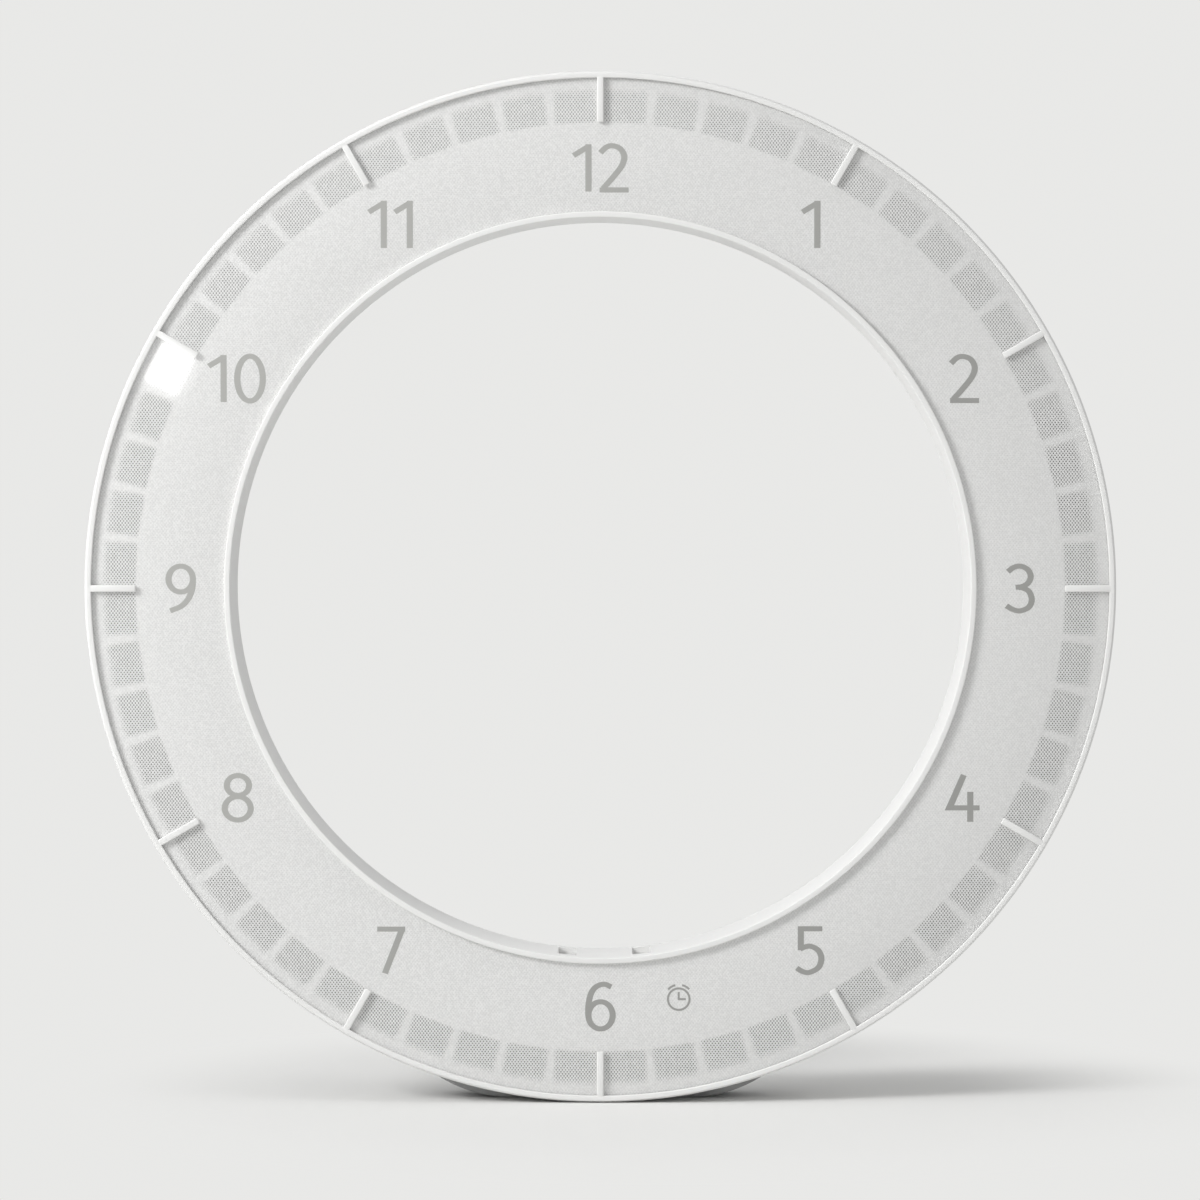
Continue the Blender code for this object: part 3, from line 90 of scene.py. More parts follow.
# Cloth of the dial, with its windows, its weave and its prints
FABRIC_THICKNESS = 0.0006
FABRIC_CLEARANCE = 0.00005
FABRIC_FRONT = -DIAL_RECESS
FABRIC_BACK = FABRIC_FRONT - FABRIC_THICKNESS
DIAL_INNER = SLEEVE_OUTER + FABRIC_CLEARANCE
DIAL_OUTER = BEZEL_INNER - FABRIC_CLEARANCE
FLANGE_FRONT = -0.0039
WINDOW_INNER_RADIUS = 0.1350
WINDOW_OUTER_RADIUS = 0.1442
WINDOW_WIDTH = 0.0123
WINDOW_SIDE_FADE = (0.0008, 0.0010)
WINDOW_INNER_FADE = (0.0005, 0.0006)
WINDOW_OUTER_FADE = 0.0015
# The lit window and the glow round it are painted: the cloth and the shell beside it emit light
LIT_OUTER_RADIUS = 0.1456
LIT_FADE = (-0.0004, 0.0013)
CLOTH_PAINTED_GLOW_FADE = (0.0012, 0.0034)
SHELL_PAINTED_GLOW_FADE = (0.0004, 0.0022)
WEAVE_PITCH = (0.00092, 0.00119)
THREAD_SIZE = 0.0009
THREAD_DEPTH = 0.00003
FIBRE_SIZE = 0.0005
CLOTH_PATCH = 0.004
PRINT_RELIEF = 0.00004
PRINT_ROOT = 0.00002
NUMERAL_HEIGHT = 0.0137
NUMERAL_RADIUS = 0.1219
ICON_RADIUS = 0.00314
ICON_ARC_RADIUS = 0.0042
ICON_LINE = 0.0006
ICON_HAND_LENGTH = 0.0021

# Screws
SCREW_HEAD_RADIUS = 0.0026
SCREW_HEAD_HEIGHT = 0.0010
SCREW_HEAD_ROUNDING = 0.0006
SCREW_SHANK_RADIUS = 0.0012
SCREW_LENGTH = 0.0070
SCREW_TURN = 37.0
RECESS_LENGTH = 0.0030
RECESS_WIDTH = 0.00075
RECESS_DEPTH = 0.0008
SEAT_DEPTH = 0.0015
SEAT_CHAMFER = 0.0002
SEAT_FLOOR = COVER_BACK + SEAT_DEPTH
SCREW_SEAT = SEAT_FLOOR - FIT_GAP
COVER_SCREW_RADIUS = BODY_INNER + JOIN_OVERLAP - BOSS_RADIUS
SLEEVE_SCREW_RADIUS = SLEEVE_OUTER - JOIN_OVERLAP + BOSS_RADIUS

# Push-buttons in the bottom of the hole's wall
BUTTON_PLACES = {"time": -0.0097, "alarm": 0.0121}
WELL_WIDTH = 0.0054
WELL_FRONT = -0.0058
WELL_BACK = -0.0214
WELL_MIDDLE = (WELL_FRONT + WELL_BACK) / 2
WELL_SINK = 0.0012
POCKET_WALL = 0.0008
POCKET_DEPTH = 0.0036
CAP_ROUNDING = 0.0004
CAP_FLANGE_WIDTH = 0.0007
CAP_FLANGE_THICKNESS = 0.0009
PLUNGER_RADIUS = 0.0011
PLUNGER_LENGTH = 0.0015
CAP_TOP = -(HOLE_RADIUS + WELL_SINK)
POCKET_BOTTOM = -(HOLE_RADIUS + POCKET_DEPTH)
BUTTON_POST_RADIUS = 0.0024
BUTTON_POST_PITCH = 0.0085
BUTTON_POST_END = -0.1195
BUTTON_MIDDLE = 0.0012

# Power socket, sound holes and wall hanger
SOCKET_SIZE = (0.0090, 0.0033)
SOCKET_WALL = 0.00045
SOCKET_BORE_DEPTH = 0.0055
SOCKET_FRONT = -0.0171
SOCKET_BACK = -0.0247
SOCKET_CLEARANCE = 0.0005
SOCKET_ROUNDING = 0.00012
TONGUE_SIZE = (0.0060, 0.0007)
TONGUE_SHORTFALL = 0.0009
CONTACT_SIZE = (0.00028, 0.00004)
CONTACT_PITCH = 0.0005
CONTACT_COUNT = 11
COMPONENT_RADIUS = 0.1330
BUZZER_PLACE = -0.0225
SOUND_HOLE_RADIUS = 0.0008
SOUND_HOLE_PITCH = 0.0027
SOUND_HOLE_COUNT = 6
CONTROL_POST_RADIUS = 0.0023
CONTROL_POST_RADII = (0.1270, 0.1385)
CONTROL_POST_END = -0.0171
HANGER_RADIUS = 0.1290
HANGER_SIZE = (0.0300, 0.0240)
HANGER_THICKNESS = 0.0012
HANGER_CORNER = 0.0030
HANGER_ROUNDING = 0.00015
HANGER_SCREW_INSET = 0.0035
HANGER_SCREW_HOLE = 0.0013
KEYHOLE_ENTRY_RADIUS = 0.0045
KEYHOLE_SLOT_WIDTH = 0.0044
KEYHOLE_ENTRY_DROP = 0.0035
KEYHOLE_SLOT_RISE = 0.0045
HANGER_OPENING_MARGIN = 0.0015

# Foot
FOOT_FLAT_HALF = 0.0260
FOOT_SIDE_RADIUS = 0.0400
FOOT_ROUNDING = 0.0006
FOOT_TIP_SHARE = 0.45
FOOT_FRONT = -(BEZEL_DEPTH + BEZEL_LIP_THICKNESS + FIT_GAP)
FOOT_BACK = COVER_FRONT

# Counts, turns and angles
RING_STEPS = 720
HOLE_STEPS = 32
PEN_STEPS = 6
CORNER_STEPS = 8
ROUND_STEPS = 4
BOX_STEPS = 3
RIM_STEPS = 2
LAMP_COUNT = 60
HOUR_COUNT = 12
FULL_TURN = 360.0
LAMP_STEP = FULL_TURN / LAMP_COUNT
HOUR_STEP = FULL_TURN / HOUR_COUNT
UP = 90.0
DOWN = -90.0
LIT_ANGLE = 153.0
ICON_ANGLE = -79.2
BELL_START = 43.0
BELL_END = 76.0
CONTROL_POST_ANGLES = (DOWN - 15.0, DOWN + 15.0)
COVER_SCREW_ANGLES = (0.0, 60.0, 120.0, 180.0, 240.0, 300.0)
SLEEVE_SCREW_ANGLES = (60.0, 180.0, 300.0)
SMOOTH_ANGLE = math.radians(32.0)

# Finishes; a tone is a share of the finish's colour, and a span is where a change starts and ends
NOISE_SPAN = (0.3, 0.7)
FIBRE_SPAN = (0.35, 0.65)
HOLE_SPAN = (0.12, 0.70)
CROWN_SPAN = (-0.05, -0.75)
FINE_DETAIL = 4.0
FIBRE_DETAIL = 3.0
MATT_SPECULAR = 0.2
SHELL_SPECULAR = 0.3
# Level of the painted glow on the shell beside the lit window
SHELL_PAINTED_GLOW = 0.35
MOULDED_TONE_SHARES = (0.98, 1.02)
MOULDED_PATCH = 0.03
MOULDED_GLOSS_PATCH = MOULDED_PATCH / 8
MOULDED_GLOSS_RANGE = 0.05
METAL_TONE_SHARES = (0.9, 1.08)
METAL_SPAN = (0.25, 0.75)
METAL_GLOSS_RANGE = (0.08, 0.1)
METAL_STREAK = (1.0, 1.0, 12.0)
METAL_GRAIN = 0.0003
METAL_DEPTH = 0.000002
TRACK_CELL = 0.0035
TRACK_SPAN = (0.10, 0.04)
TRACK_DEPTH = 0.00003
BOARD_PATCH = 0.006
BOARD_STAIN_SHARE = 0.15
STAIN_TONE_SHARE = 0.6
BOARD_ROUGHNESS = (0.3, 0.42)
LAMP_CASE = (0.82, 0.82, 0.72)
RUBBER_PATCH = 0.012
RUBBER_SPAN = (0.35, 0.75)
RUBBER_TONE_SHARES = (0.9, 1.25)
RUBBER_ROUGHNESS = (0.7, 0.85)
RUBBER_DEPTH = 0.00002
CLOTH_UNEVEN_SHARES = (0.82, 1.12)
# Painted light on the cloth: lighter towards the left, mixed with random patches of tone
CLOTH_PAINTED_LIGHT_ENDS = (0.11, -0.03)
CLOTH_PATCH_SHARE = 0.5
CLOTH_LIGHT_AND_PATCH_SHARES = (0.97, 1.045)
FIBRE_SHARE = 0.50
FIBRE_TONE_SHARE = 0.8
DIMPLE_SHARE = 0.36
DIMPLE_TONE_SHARE = 0.7
# Painted shade seen through the windows, changing across the dial and towards the top
WINDOW_SHADE_SIDE_ENDS = (-0.14, 0.10)
WINDOW_HOLE_SHADE_SHARES = (0.80, 0.90)
WINDOW_VEIL_SHADE_SHARES = (0.065, 0.02)
WINDOW_SHADE_TOP_ENDS = (0.02, 0.13)
WINDOW_SHADE_TOP_SHARES = (1.0, 0.80)
CLOTH_ROUGHNESS = 0.9
CLOTH_SHEEN = 0.15
# Levels of the painted glow in the lit window and round it
LIT_LEVEL = 0.75
PAINTED_GLOW_LEVEL = 0.14
CROWN_SHARE = 0.6
# Painted light on the ink: lighter towards the upper left, darker towards the lower right
INK_LIGHT_RISE_SHARE = 0.5
INK_PAINTED_LIGHT_ENDS = (-0.09, 0.11)
INK_SHADED_SHARES = (0.84, 0.92)
INK_LIT_SHARES = (1.04, 1.14)
INK_ROUGHNESS = (0.75, 0.9)
INK_DEPTH = 0.00001
SHEET_PATCH = 0.01
SHEET_TONE_SHARES = (0.96, 1.04)
SHEET_ROUGHNESS = (0.4, 0.55)
SHEET_TRANSMISSION = 0.35
SHEET_GRAIN = 0.0004
SHEET_DEPTH = 0.000005

# Stage
CAMERA_PLACE = (-0.0001, -1.1133, 0.1780)
CAMERA_AIM = (-0.0001, -0.0125, 0.1467)
CAMERA_LENS = 113.8
KEY_LIGHT = {"place": (-0.935, -0.535, 0.690), "size": 0.35, "power": 9.6}
TOP_LIGHT = {"place": (0.0, -0.40, 1.70), "size": 0.80, "power": 4.4}
AIM_POINT = (0.0, 0.0, 0.150)
WORLD_LEVEL = 0.50
PAPER_TONE = (0.812, 0.812, 0.800, 1.0)
# Painted shade on the floor: darker towards the left, lighter towards the right
PAPER_SHADE_TINTS = ((0.745, 0.745, 0.735, 1.0), (0.860, 0.860, 0.848, 1.0))
PAPER_SHADE_ENDS = (-0.15, 0.16)
SHADOW_POOL = (0.130, 0.110)
SHADOW_POOL_MIDDLE = (0.020, 0.010)
SHADOW_POOL_SHARES = (0.6, 1.4)
PAPER_GRAIN = 0.02
PAPER_ROUGHNESS = (0.9, 1.0)
PAPER_SPECULAR = 0.1
WHITE = (1.0, 1.0, 1.0, 1.0)
FLOOR_HALF_WIDTH = 4.0

DIAL = Matrix.Translation((0.0, -RING_DEPTH / 2, RING_RADIUS)) @ Matrix.Rotation(math.radians(UP), 4, "X")

# Pen strokes of the digits, as shares of the numeral height from the digit's centre.
# A line and a curve list their points; an oval gives its centre and its two radii.
STEM_SHARE = 0.130
HAIRLINE_SHARE = 0.106
DIGIT_SHARES = {
    "0": [("oval", (0.0, 0.0), (0.271, 0.474))],
    "1": [("line", (0.141, -0.498), (0.141, 0.498)), ("line", (-0.176, 0.260), (0.120, 0.440))],
    "2": [
        ("curve", (-0.281, 0.321), (-0.153, 0.438), (-0.022, 0.467), (0.138, 0.404),
         (0.223, 0.240), (0.167, 0.041), (-0.007, -0.187), (-0.225, -0.435)),
        ("line", (-0.298, -0.465), (0.316, -0.465)),
    ],
    "3": [
        ("curve", (-0.255, 0.357), (-0.132, 0.448), (0.013, 0.474), (0.167, 0.402),
         (0.231, 0.254), (0.173, 0.117), (0.051, 0.043), (-0.089, 0.026)),
        ("curve", (-0.020, 0.020), (0.070, 0.010), (0.196, -0.066), (0.255, -0.237),
         (0.188, -0.397), (0.007, -0.474), (-0.147, -0.445), (-0.284, -0.365)),
    ],
    "4": [
        ("line", (0.013, 0.487), (-0.290, -0.213), (0.351, -0.213)),
        ("line", (0.154, 0.127), (0.154, -0.509)),
    ],
    "5": [
        ("line", (0.271, 0.468), (-0.185, 0.468), (-0.185, 0.010)),
        ("curve", (-0.200, 0.035), (-0.102, 0.078), (0.026, 0.093), (0.186, 0.007),
         (0.253, -0.164), (0.189, -0.358), (-0.003, -0.464), (-0.148, -0.444), (-0.271, -0.370)),
    ],
    "6": [
        ("oval", (0.004, -0.188), (0.258, 0.290)),
        ("curve", (0.231, 0.418), (0.076, 0.478), (-0.099, 0.415), (-0.205, 0.260),
         (-0.254, 0.020), (-0.258, -0.188)),
    ],
    "7": [("line", (-0.297, 0.461), (0.297, 0.461)), ("line", (0.228, 0.450), (-0.135, -0.485))],
    "8": [("oval", (0.006, 0.265), (0.236, 0.212)), ("oval", (0.0, -0.223), (0.276, 0.249))],
    "9": [
        ("oval", (-0.004, 0.201), (0.259, 0.274)),
        ("curve", (0.255, 0.201), (0.240, 0.010), (0.170, -0.190), (0.020, -0.365),
         (-0.228, -0.475)),
    ],
}

# Digits of each hour, with their places across as shares of the numeral height
HOUR_SHARES = {hour: [(str(hour), 0.0)] for hour in range(1, 10)}
HOUR_SHARES[10] = [("1", -0.415), ("0", 0.285)]
HOUR_SHARES[11] = [("1", -0.275), ("1", 0.275)]
HOUR_SHARES[12] = [("1", -0.393), ("2", 0.282)]


# Shader steps


def feed(tree, socket, value):
    """Links an output to a socket, or sets the socket's own value."""
    if isinstance(value, bpy.types.NodeSocket):
        tree.links.new(value, socket)
    else:
        socket.default_value = value


def maths(tree, operation, *values):
    step = tree.nodes.new("ShaderNodeMath")
    step.operation = operation
    for socket, value in zip(step.inputs, values):
        feed(tree, socket, value)
    return step.outputs["Value"]


def plus(tree, first, second):
    return maths(tree, "ADD", first, second)


def minus(tree, first, second):
    return maths(tree, "SUBTRACT", first, second)


def times(tree, first, second):
    return maths(tree, "MULTIPLY", first, second)


def length(tree, first, second):
    """Distance of two spans at a right angle."""
    return maths(tree, "SQRT", plus(tree, times(tree, first, first), times(tree, second, second)))


def fade(tree, value, start, end, low=0.0, high=1.0):
    """Smooth change from low to high as the value goes from start to end."""
    step = tree.nodes.new("ShaderNodeMapRange")
    step.interpolation_type = "SMOOTHSTEP"
    given = {"Value": value, "From Min": start, "From Max": end, "To Min": low, "To Max": high}
    for name, number in given.items():
        feed(tree, step.inputs[name], number)
    return step.outputs["Result"]


def varied(tree, noise, low, high):
    """Level between low and high that follows a noise."""
    return fade(tree, noise, *NOISE_SPAN, low, high)


def mixed(tree, share, first, second):
    """Colour between two colours."""
    step = tree.nodes.new("ShaderNodeMix")
    step.data_type = "RGBA"
    feed(tree, step.inputs[0], share)
    feed(tree, step.inputs[6], first)
    feed(tree, step.inputs[7], second)
    return step.outputs[2]


def speckle(tree, spot, size, detail=2.0):
    """Noise between 0 and 1 in spots of that size."""
    step = tree.nodes.new("ShaderNodeTexNoise")
    tree.links.new(spot, step.inputs["Vector"])
    step.inputs["Scale"].default_value = 1 / size
    step.inputs["Detail"].default_value = detail
    return step.outputs["Fac"]


def split(tree, spot):
    parts = tree.nodes.new("ShaderNodeSeparateXYZ")
    tree.links.new(spot, parts.inputs["Vector"])
    return parts.outputs


def paint(tree, shader, tone, gloss, height, depth):
    """Feeds colour and roughness, and a bump of that depth from a height between 0 and 1."""
    feed(tree, shader.inputs["Base Color"], tone)
    feed(tree, shader.inputs["Roughness"], gloss)
    step = tree.nodes.new("ShaderNodeBump")
    step.inputs["Distance"].default_value = depth
    tree.links.new(height, step.inputs["Height"])
    tree.links.new(step.outputs["Normal"], shader.inputs["Normal"])


def blend_shaders(tree, share, first, second, output="Material Output"):
    """Shows the first shader, and the second by its share."""
    step = tree.nodes.new("ShaderNodeMixShader")
    feed(tree, step.inputs["Fac"], share)
    tree.links.new(first, step.inputs[1])
    tree.links.new(second, step.inputs[2])
    tree.links.new(step.outputs["Shader"], tree.nodes[output].inputs["Surface"])


def tinted(colour, level=1.0):
    return (*[min(channel * level, 1.0) for channel in colour], 1.0)


def toned(tree, share, colour, levels):
    """Colour between two tints of it."""
    return mixed(tree, share, *[tinted(colour, level) for level in levels])


def start_finish(name):
    """Material with its tree, its shader and the place on the piece."""
    finish = bpy.data.materials.new(name)
    finish.use_nodes = True
    tree = finish.node_tree
    shader = tree.nodes["Principled BSDF"]
    spot = tree.nodes.new("ShaderNodeTexCoord").outputs["Object"]
    return finish, tree, shader, spot


def moulded(name, colour, roughness, grain=0.0006, depth=0.000002):
    """Moulded plastic with a fine eroded grain and a faintly uneven tone and gloss."""
    finish, tree, shader, spot = start_finish(name)
    tone = toned(tree, speckle(tree, spot, MOULDED_PATCH), colour, MOULDED_TONE_SHARES)
    worn = speckle(tree, spot, MOULDED_GLOSS_PATCH)
    gloss = varied(tree, worn, roughness - MOULDED_GLOSS_RANGE, roughness + MOULDED_GLOSS_RANGE)
    paint(tree, shader, tone, gloss, speckle(tree, spot, grain), depth)
    return finish


def metal(name, colour, roughness):
    """Metal with fine drawn streaks and slightly worn gloss."""
    finish, tree, shader, spot = start_finish(name)
    drawn = tree.nodes.new("ShaderNodeMapping")
    drawn.inputs["Scale"].default_value = METAL_STREAK
    tree.links.new(spot, drawn.inputs["Vector"])
    lines = speckle(tree, drawn.outputs["Vector"], METAL_GRAIN, FINE_DETAIL)
    tone = toned(tree, lines, colour, METAL_TONE_SHARES)
    worn = (roughness - METAL_GLOSS_RANGE[0], roughness + METAL_GLOSS_RANGE[1])
    shader.inputs["Metallic"].default_value = 1.0
    paint(tree, shader, tone, fade(tree, lines, *METAL_SPAN, *worn), lines, METAL_DEPTH)
    return finish


def circuit_board(name, mask, track, lamp_level=None):
    """Solder mask with raised tracks under it; past a level, the white cases of the lamps."""
    finish, tree, shader, spot = start_finish(name)
    cells = tree.nodes.new("ShaderNodeTexVoronoi")
    cells.distance = "CHEBYCHEV"
    cells.feature = "DISTANCE_TO_EDGE"
    cells.inputs["Scale"].default_value = 1 / TRACK_CELL
    tree.links.new(spot, cells.inputs["Vector"])
    tracks = fade(tree, cells.outputs["Distance"], *TRACK_SPAN)
    cloud = speckle(tree, spot, BOARD_PATCH)
    tone = mixed(tree, tracks, tinted(mask), tinted(track))
    stain = varied(tree, cloud, 0.0, BOARD_STAIN_SHARE)
    tone = mixed(tree, stain, tone, tinted(mask, STAIN_TONE_SHARE))
    if lamp_level is not None:
        case = maths(tree, "LESS_THAN", split(tree, spot)["Y"], lamp_level)
        tone = mixed(tree, case, tone, tinted(LAMP_CASE))
    paint(tree, shader, tone, varied(tree, cloud, *BOARD_ROUGHNESS), tracks, TRACK_DEPTH)
    return finish


def rubber(name, colour):
    """Soft matt rubber with a fine leathery grain and a dusty bloom."""
    finish, tree, shader, spot = start_finish(name)
    bloom = speckle(tree, spot, RUBBER_PATCH, FINE_DETAIL)
    tone = toned(tree, fade(tree, bloom, *RUBBER_SPAN), colour, RUBBER_TONE_SHARES)
    grain = speckle(tree, spot, FIBRE_SIZE, FIBRE_DETAIL)
    paint(tree, shader, tone, varied(tree, bloom, *RUBBER_ROUGHNESS), grain, RUBBER_DEPTH)
    return finish


def polar(radius, angle):
    turn = math.radians(angle)
    return Vector((radius * math.cos(turn), radius * math.sin(turn)))


def dial_offset(tree, spot):
    """Places across, up and forwards from the middle of the rims' front."""
    parts = split(tree, spot)
    return parts["X"], minus(tree, parts["Z"], RING_RADIUS), minus(tree, -RING_DEPTH / 2, parts["Y"])


def around_lit_window(tree, across, up, reach, soft):
    """1 within the lit window and for that reach round it, falling to 0 over a soft edge."""
    way = polar(1.0, LIT_ANGLE)
    along = plus(tree, times(tree, across, way.x), times(tree, up, way.y))
    aside = minus(tree, times(tree, up, way.x), times(tree, across, way.y))
    middle = (WINDOW_INNER_RADIUS + LIT_OUTER_RADIUS) / 2
    half_height = (LIT_OUTER_RADIUS - WINDOW_INNER_RADIUS) / 2
    shares = []
    for off, half in ((minus(tree, along, middle), half_height), (aside, WINDOW_WIDTH / 2)):
        edge = half + reach
        shares.append(fade(tree, maths(tree, "ABSOLUTE", off), edge + soft, edge - soft))
    return times(tree, *shares)


def shell_plastic(name, colour, roughness, depth):
    """White moulded plastic of the shell, with a faint painted glow beside the lit window that stands for
    the window's light falling on it.
    """
    finish = moulded(name, colour, roughness, depth=depth)
    tree = finish.node_tree
    shader = tree.nodes["Principled BSDF"]
    shader.inputs["Specular IOR Level"].default_value = SHELL_SPECULAR
    spot = tree.nodes.new("ShaderNodeTexCoord").outputs["Object"]
    across, up, forwards = dial_offset(tree, spot)
    # Painted glow: emission near the front, round the lit window, stands for that window's light falling on
    # the bars and rims.
    shader.inputs["Emission Color"].default_value = WHITE
    painted_glow = around_lit_window(tree, across, up, *SHELL_PAINTED_GLOW_FADE)
    front = fade(tree, forwards, FABRIC_BACK - BAR_WIDTH, FABRIC_BACK)
    feed(tree, shader.inputs["Emission Strength"], times(tree, times(tree, painted_glow, front), SHELL_PAINTED_GLOW))
    return finish


def lamp_windows(tree, across, up):
    """1 in each lamp window, with soft edges, and 0 between the windows."""
    turn = maths(tree, "ARCTAN2", up, across)
    step = math.radians(LAMP_STEP)
    part = maths(tree, "FRACT", plus(tree, maths(tree, "DIVIDE", turn, step), LAMP_COUNT))
    swing = times(tree, minus(tree, part, 0.5), step)
    reach = length(tree, across, up)
    aside = maths(tree, "ABSOLUTE", times(tree, reach, maths(tree, "SINE", swing)))
    along = times(tree, reach, maths(tree, "COSINE", swing))
    side = WINDOW_WIDTH / 2
    sides = fade(tree, aside, side + WINDOW_SIDE_FADE[0], side - WINDOW_SIDE_FADE[1])
    low = WINDOW_INNER_RADIUS
    inner = fade(tree, along, low - WINDOW_INNER_FADE[0], low + WINDOW_INNER_FADE[1])
    high = WINDOW_OUTER_RADIUS
    outer = fade(tree, along, high + WINDOW_OUTER_FADE, high - WINDOW_OUTER_FADE)
    return times(tree, sides, times(tree, inner, outer))


def woven_cloth(name, colour, hollow_shade):
    """Pale cloth whose weave opens over the lamp windows, with one window lit."""
    finish, tree, shader, spot = start_finish(name)
    across, up = dial_offset(tree, spot)[:2]

    waves = []
    for way, pitch in zip((across, up), WEAVE_PITCH):
        waves.append(maths(tree, "COSINE", times(tree, way, 2 * math.pi / pitch)))
    weave = times(tree, *waves)
    uneven = varied(tree, speckle(tree, spot, THREAD_SIZE), *CLOTH_UNEVEN_SHARES)
    holes = times(tree, fade(tree, weave, *HOLE_SPAN), uneven)
    crowns = fade(tree, weave, *CROWN_SPAN)

    cloud = speckle(tree, spot, CLOTH_PATCH, FINE_DETAIL)
    fibre = speckle(tree, spot, FIBRE_SIZE, FIBRE_DETAIL)
    # Painted light: the cloth is lighter towards the left, where the key light falls, mixed with random
    # patches of tone.
    painted_light_and_patches = plus(tree, fade(tree, across, *CLOTH_PAINTED_LIGHT_ENDS), times(tree, cloud, CLOTH_PATCH_SHARE))
    painted_light_and_patches = maths(tree, "DIVIDE", painted_light_and_patches, 1 + CLOTH_PATCH_SHARE)
    plain = toned(tree, painted_light_and_patches, colour, CLOTH_LIGHT_AND_PATCH_SHARES)
    dusk = fade(tree, fibre, *FIBRE_SPAN, 0.0, FIBRE_SHARE)
    plain = mixed(tree, dusk, plain, tinted(colour, FIBRE_TONE_SHARE))
    plain = mixed(tree, times(tree, holes, DIMPLE_SHARE), plain, tinted(colour, DIMPLE_TONE_SHARE))
    # Painted shade: the weave's holes over the windows show the dark of the shaded wells behind. It is
    # stronger towards the right and weaker towards the top, and a faint even veil of it is stronger towards
    # the left.
    hole_shade_share = times(
        tree, fade(tree, across, *WINDOW_SHADE_SIDE_ENDS, *WINDOW_HOLE_SHADE_SHARES),
        fade(tree, up, *WINDOW_SHADE_TOP_ENDS, *WINDOW_SHADE_TOP_SHARES),
    )
    veil_shade_share = fade(tree, across, *WINDOW_SHADE_SIDE_ENDS, *WINDOW_VEIL_SHADE_SHARES)
    painted_window_shade = plus(tree, times(tree, holes, hole_shade_share), veil_shade_share)
    painted_window_shade = times(tree, lamp_windows(tree, across, up), painted_window_shade)
    threads = plus(tree, times(tree, crowns, CROWN_SHARE), times(tree, fibre, 1 - CROWN_SHARE))
    tone = mixed(tree, painted_window_shade, plain, tinted(hollow_shade))
    paint(tree, shader, tone, CLOTH_ROUGHNESS, threads, THREAD_DEPTH)
    shader.inputs["Specular IOR Level"].default_value = MATT_SPECULAR
    shader.inputs["Sheen Weight"].default_value = CLOTH_SHEEN

    # Painted glow: the lit window and a fainter halo round it emit light from the cloth, in place of a lamp
    # behind it.
    lit = around_lit_window(tree, across, up, *LIT_FADE)
    painted_glow = around_lit_window(tree, across, up, *CLOTH_PAINTED_GLOW_FADE)
    shader.inputs["Emission Color"].default_value = WHITE
    light = plus(tree, times(tree, lit, LIT_LEVEL), times(tree, painted_glow, PAINTED_GLOW_LEVEL))
    feed(tree, shader.inputs["Emission Strength"], light)
    return finish


def printed_ink(name, colour):
    """Matt ink on the cloth, a little uneven where it follows the threads, with painted light that makes it
    lighter towards the upper left.
    """
    finish, tree, shader, spot = start_finish(name)
    across, up = dial_offset(tree, spot)[:2]
    # Painted light: the ink is lighter towards the upper left, where the key light falls, and darker
    # towards the lower right.
    toward_light = minus(tree, times(tree, up, INK_LIGHT_RISE_SHARE), across)
    fibre = speckle(tree, spot, FIBRE_SIZE, FIBRE_DETAIL)
    shaded_ink = toned(tree, fibre, colour, INK_SHADED_SHARES)
    lit_ink = toned(tree, fibre, colour, INK_LIT_SHARES)
    tone = mixed(tree, fade(tree, toward_light, *INK_PAINTED_LIGHT_ENDS), shaded_ink, lit_ink)
    paint(tree, shader, tone, varied(tree, fibre, *INK_ROUGHNESS), fibre, INK_DEPTH)
    shader.inputs["Specular IOR Level"].default_value = MATT_SPECULAR
    return finish


def milky_sheet(name, colour):
    """Translucent diffuser sheet with a satin face."""
    finish, tree, shader, spot = start_finish(name)
    cloud = speckle(tree, spot, SHEET_PATCH)
    tone = toned(tree, cloud, colour, SHEET_TONE_SHARES)
    grain = speckle(tree, spot, SHEET_GRAIN)
    paint(tree, shader, tone, varied(tree, cloud, *SHEET_ROUGHNESS), grain, SHEET_DEPTH)
    shader.inputs["Transmission Weight"].default_value = SHEET_TRANSMISSION
    return finish


WHITE_SHELL = shell_plastic("shell_plastic", (0.84, 0.84, 0.83), 0.55, 0.0000007)
# The cloth's third colour is the painted shade seen through its windows.
WHITE_CLOTH = woven_cloth("dial_cloth", (0.79, 0.79, 0.783), (0.08, 0.08, 0.075))
PRINT_INK = printed_ink("print_ink", (0.40, 0.40, 0.385))
GREY_PLATE = moulded("plate_plastic", (0.55, 0.55, 0.55), 0.60)
GRID_PLASTIC = moulded("grid_plastic", (0.82, 0.82, 0.81), 0.50)
MILKY_SHEET = milky_sheet("diffuser_sheet", (0.80, 0.80, 0.80))
DARK_RUBBER = rubber("foot_rubber", (0.33, 0.33, 0.33))
WHITE_KEY = moulded("key_plastic", (0.80, 0.80, 0.79), 0.38, depth=0.000001)
BLACK_PLASTIC = moulded("case_plastic", (0.03, 0.03, 0.03), 0.45)
GREEN_BOARD = circuit_board("green_board", (0.02, 0.16, 0.07), (0.05, 0.28, 0.12))
WHITE_BOARD = circuit_board("lamp_board", (0.78, 0.78, 0.75), (0.70, 0.70, 0.66), lamp_level=-0.0012)
STEEL = metal("steel", (0.60, 0.60, 0.61), 0.32)
ALUMINIUM_CAN = metal("aluminium_can", (0.70, 0.70, 0.71), 0.35)
GOLD_LINK = metal("gold_link", (0.80, 0.60, 0.25), 0.30)
GREY_RIBBON = moulded("ribbon_skin", (0.45, 0.45, 0.47), 0.50, grain=0.0003)


# Mesh steps


def new_object(name, data):
    item = bpy.data.objects.new(name, data)
    bpy.context.scene.collection.objects.link(item)
    return item


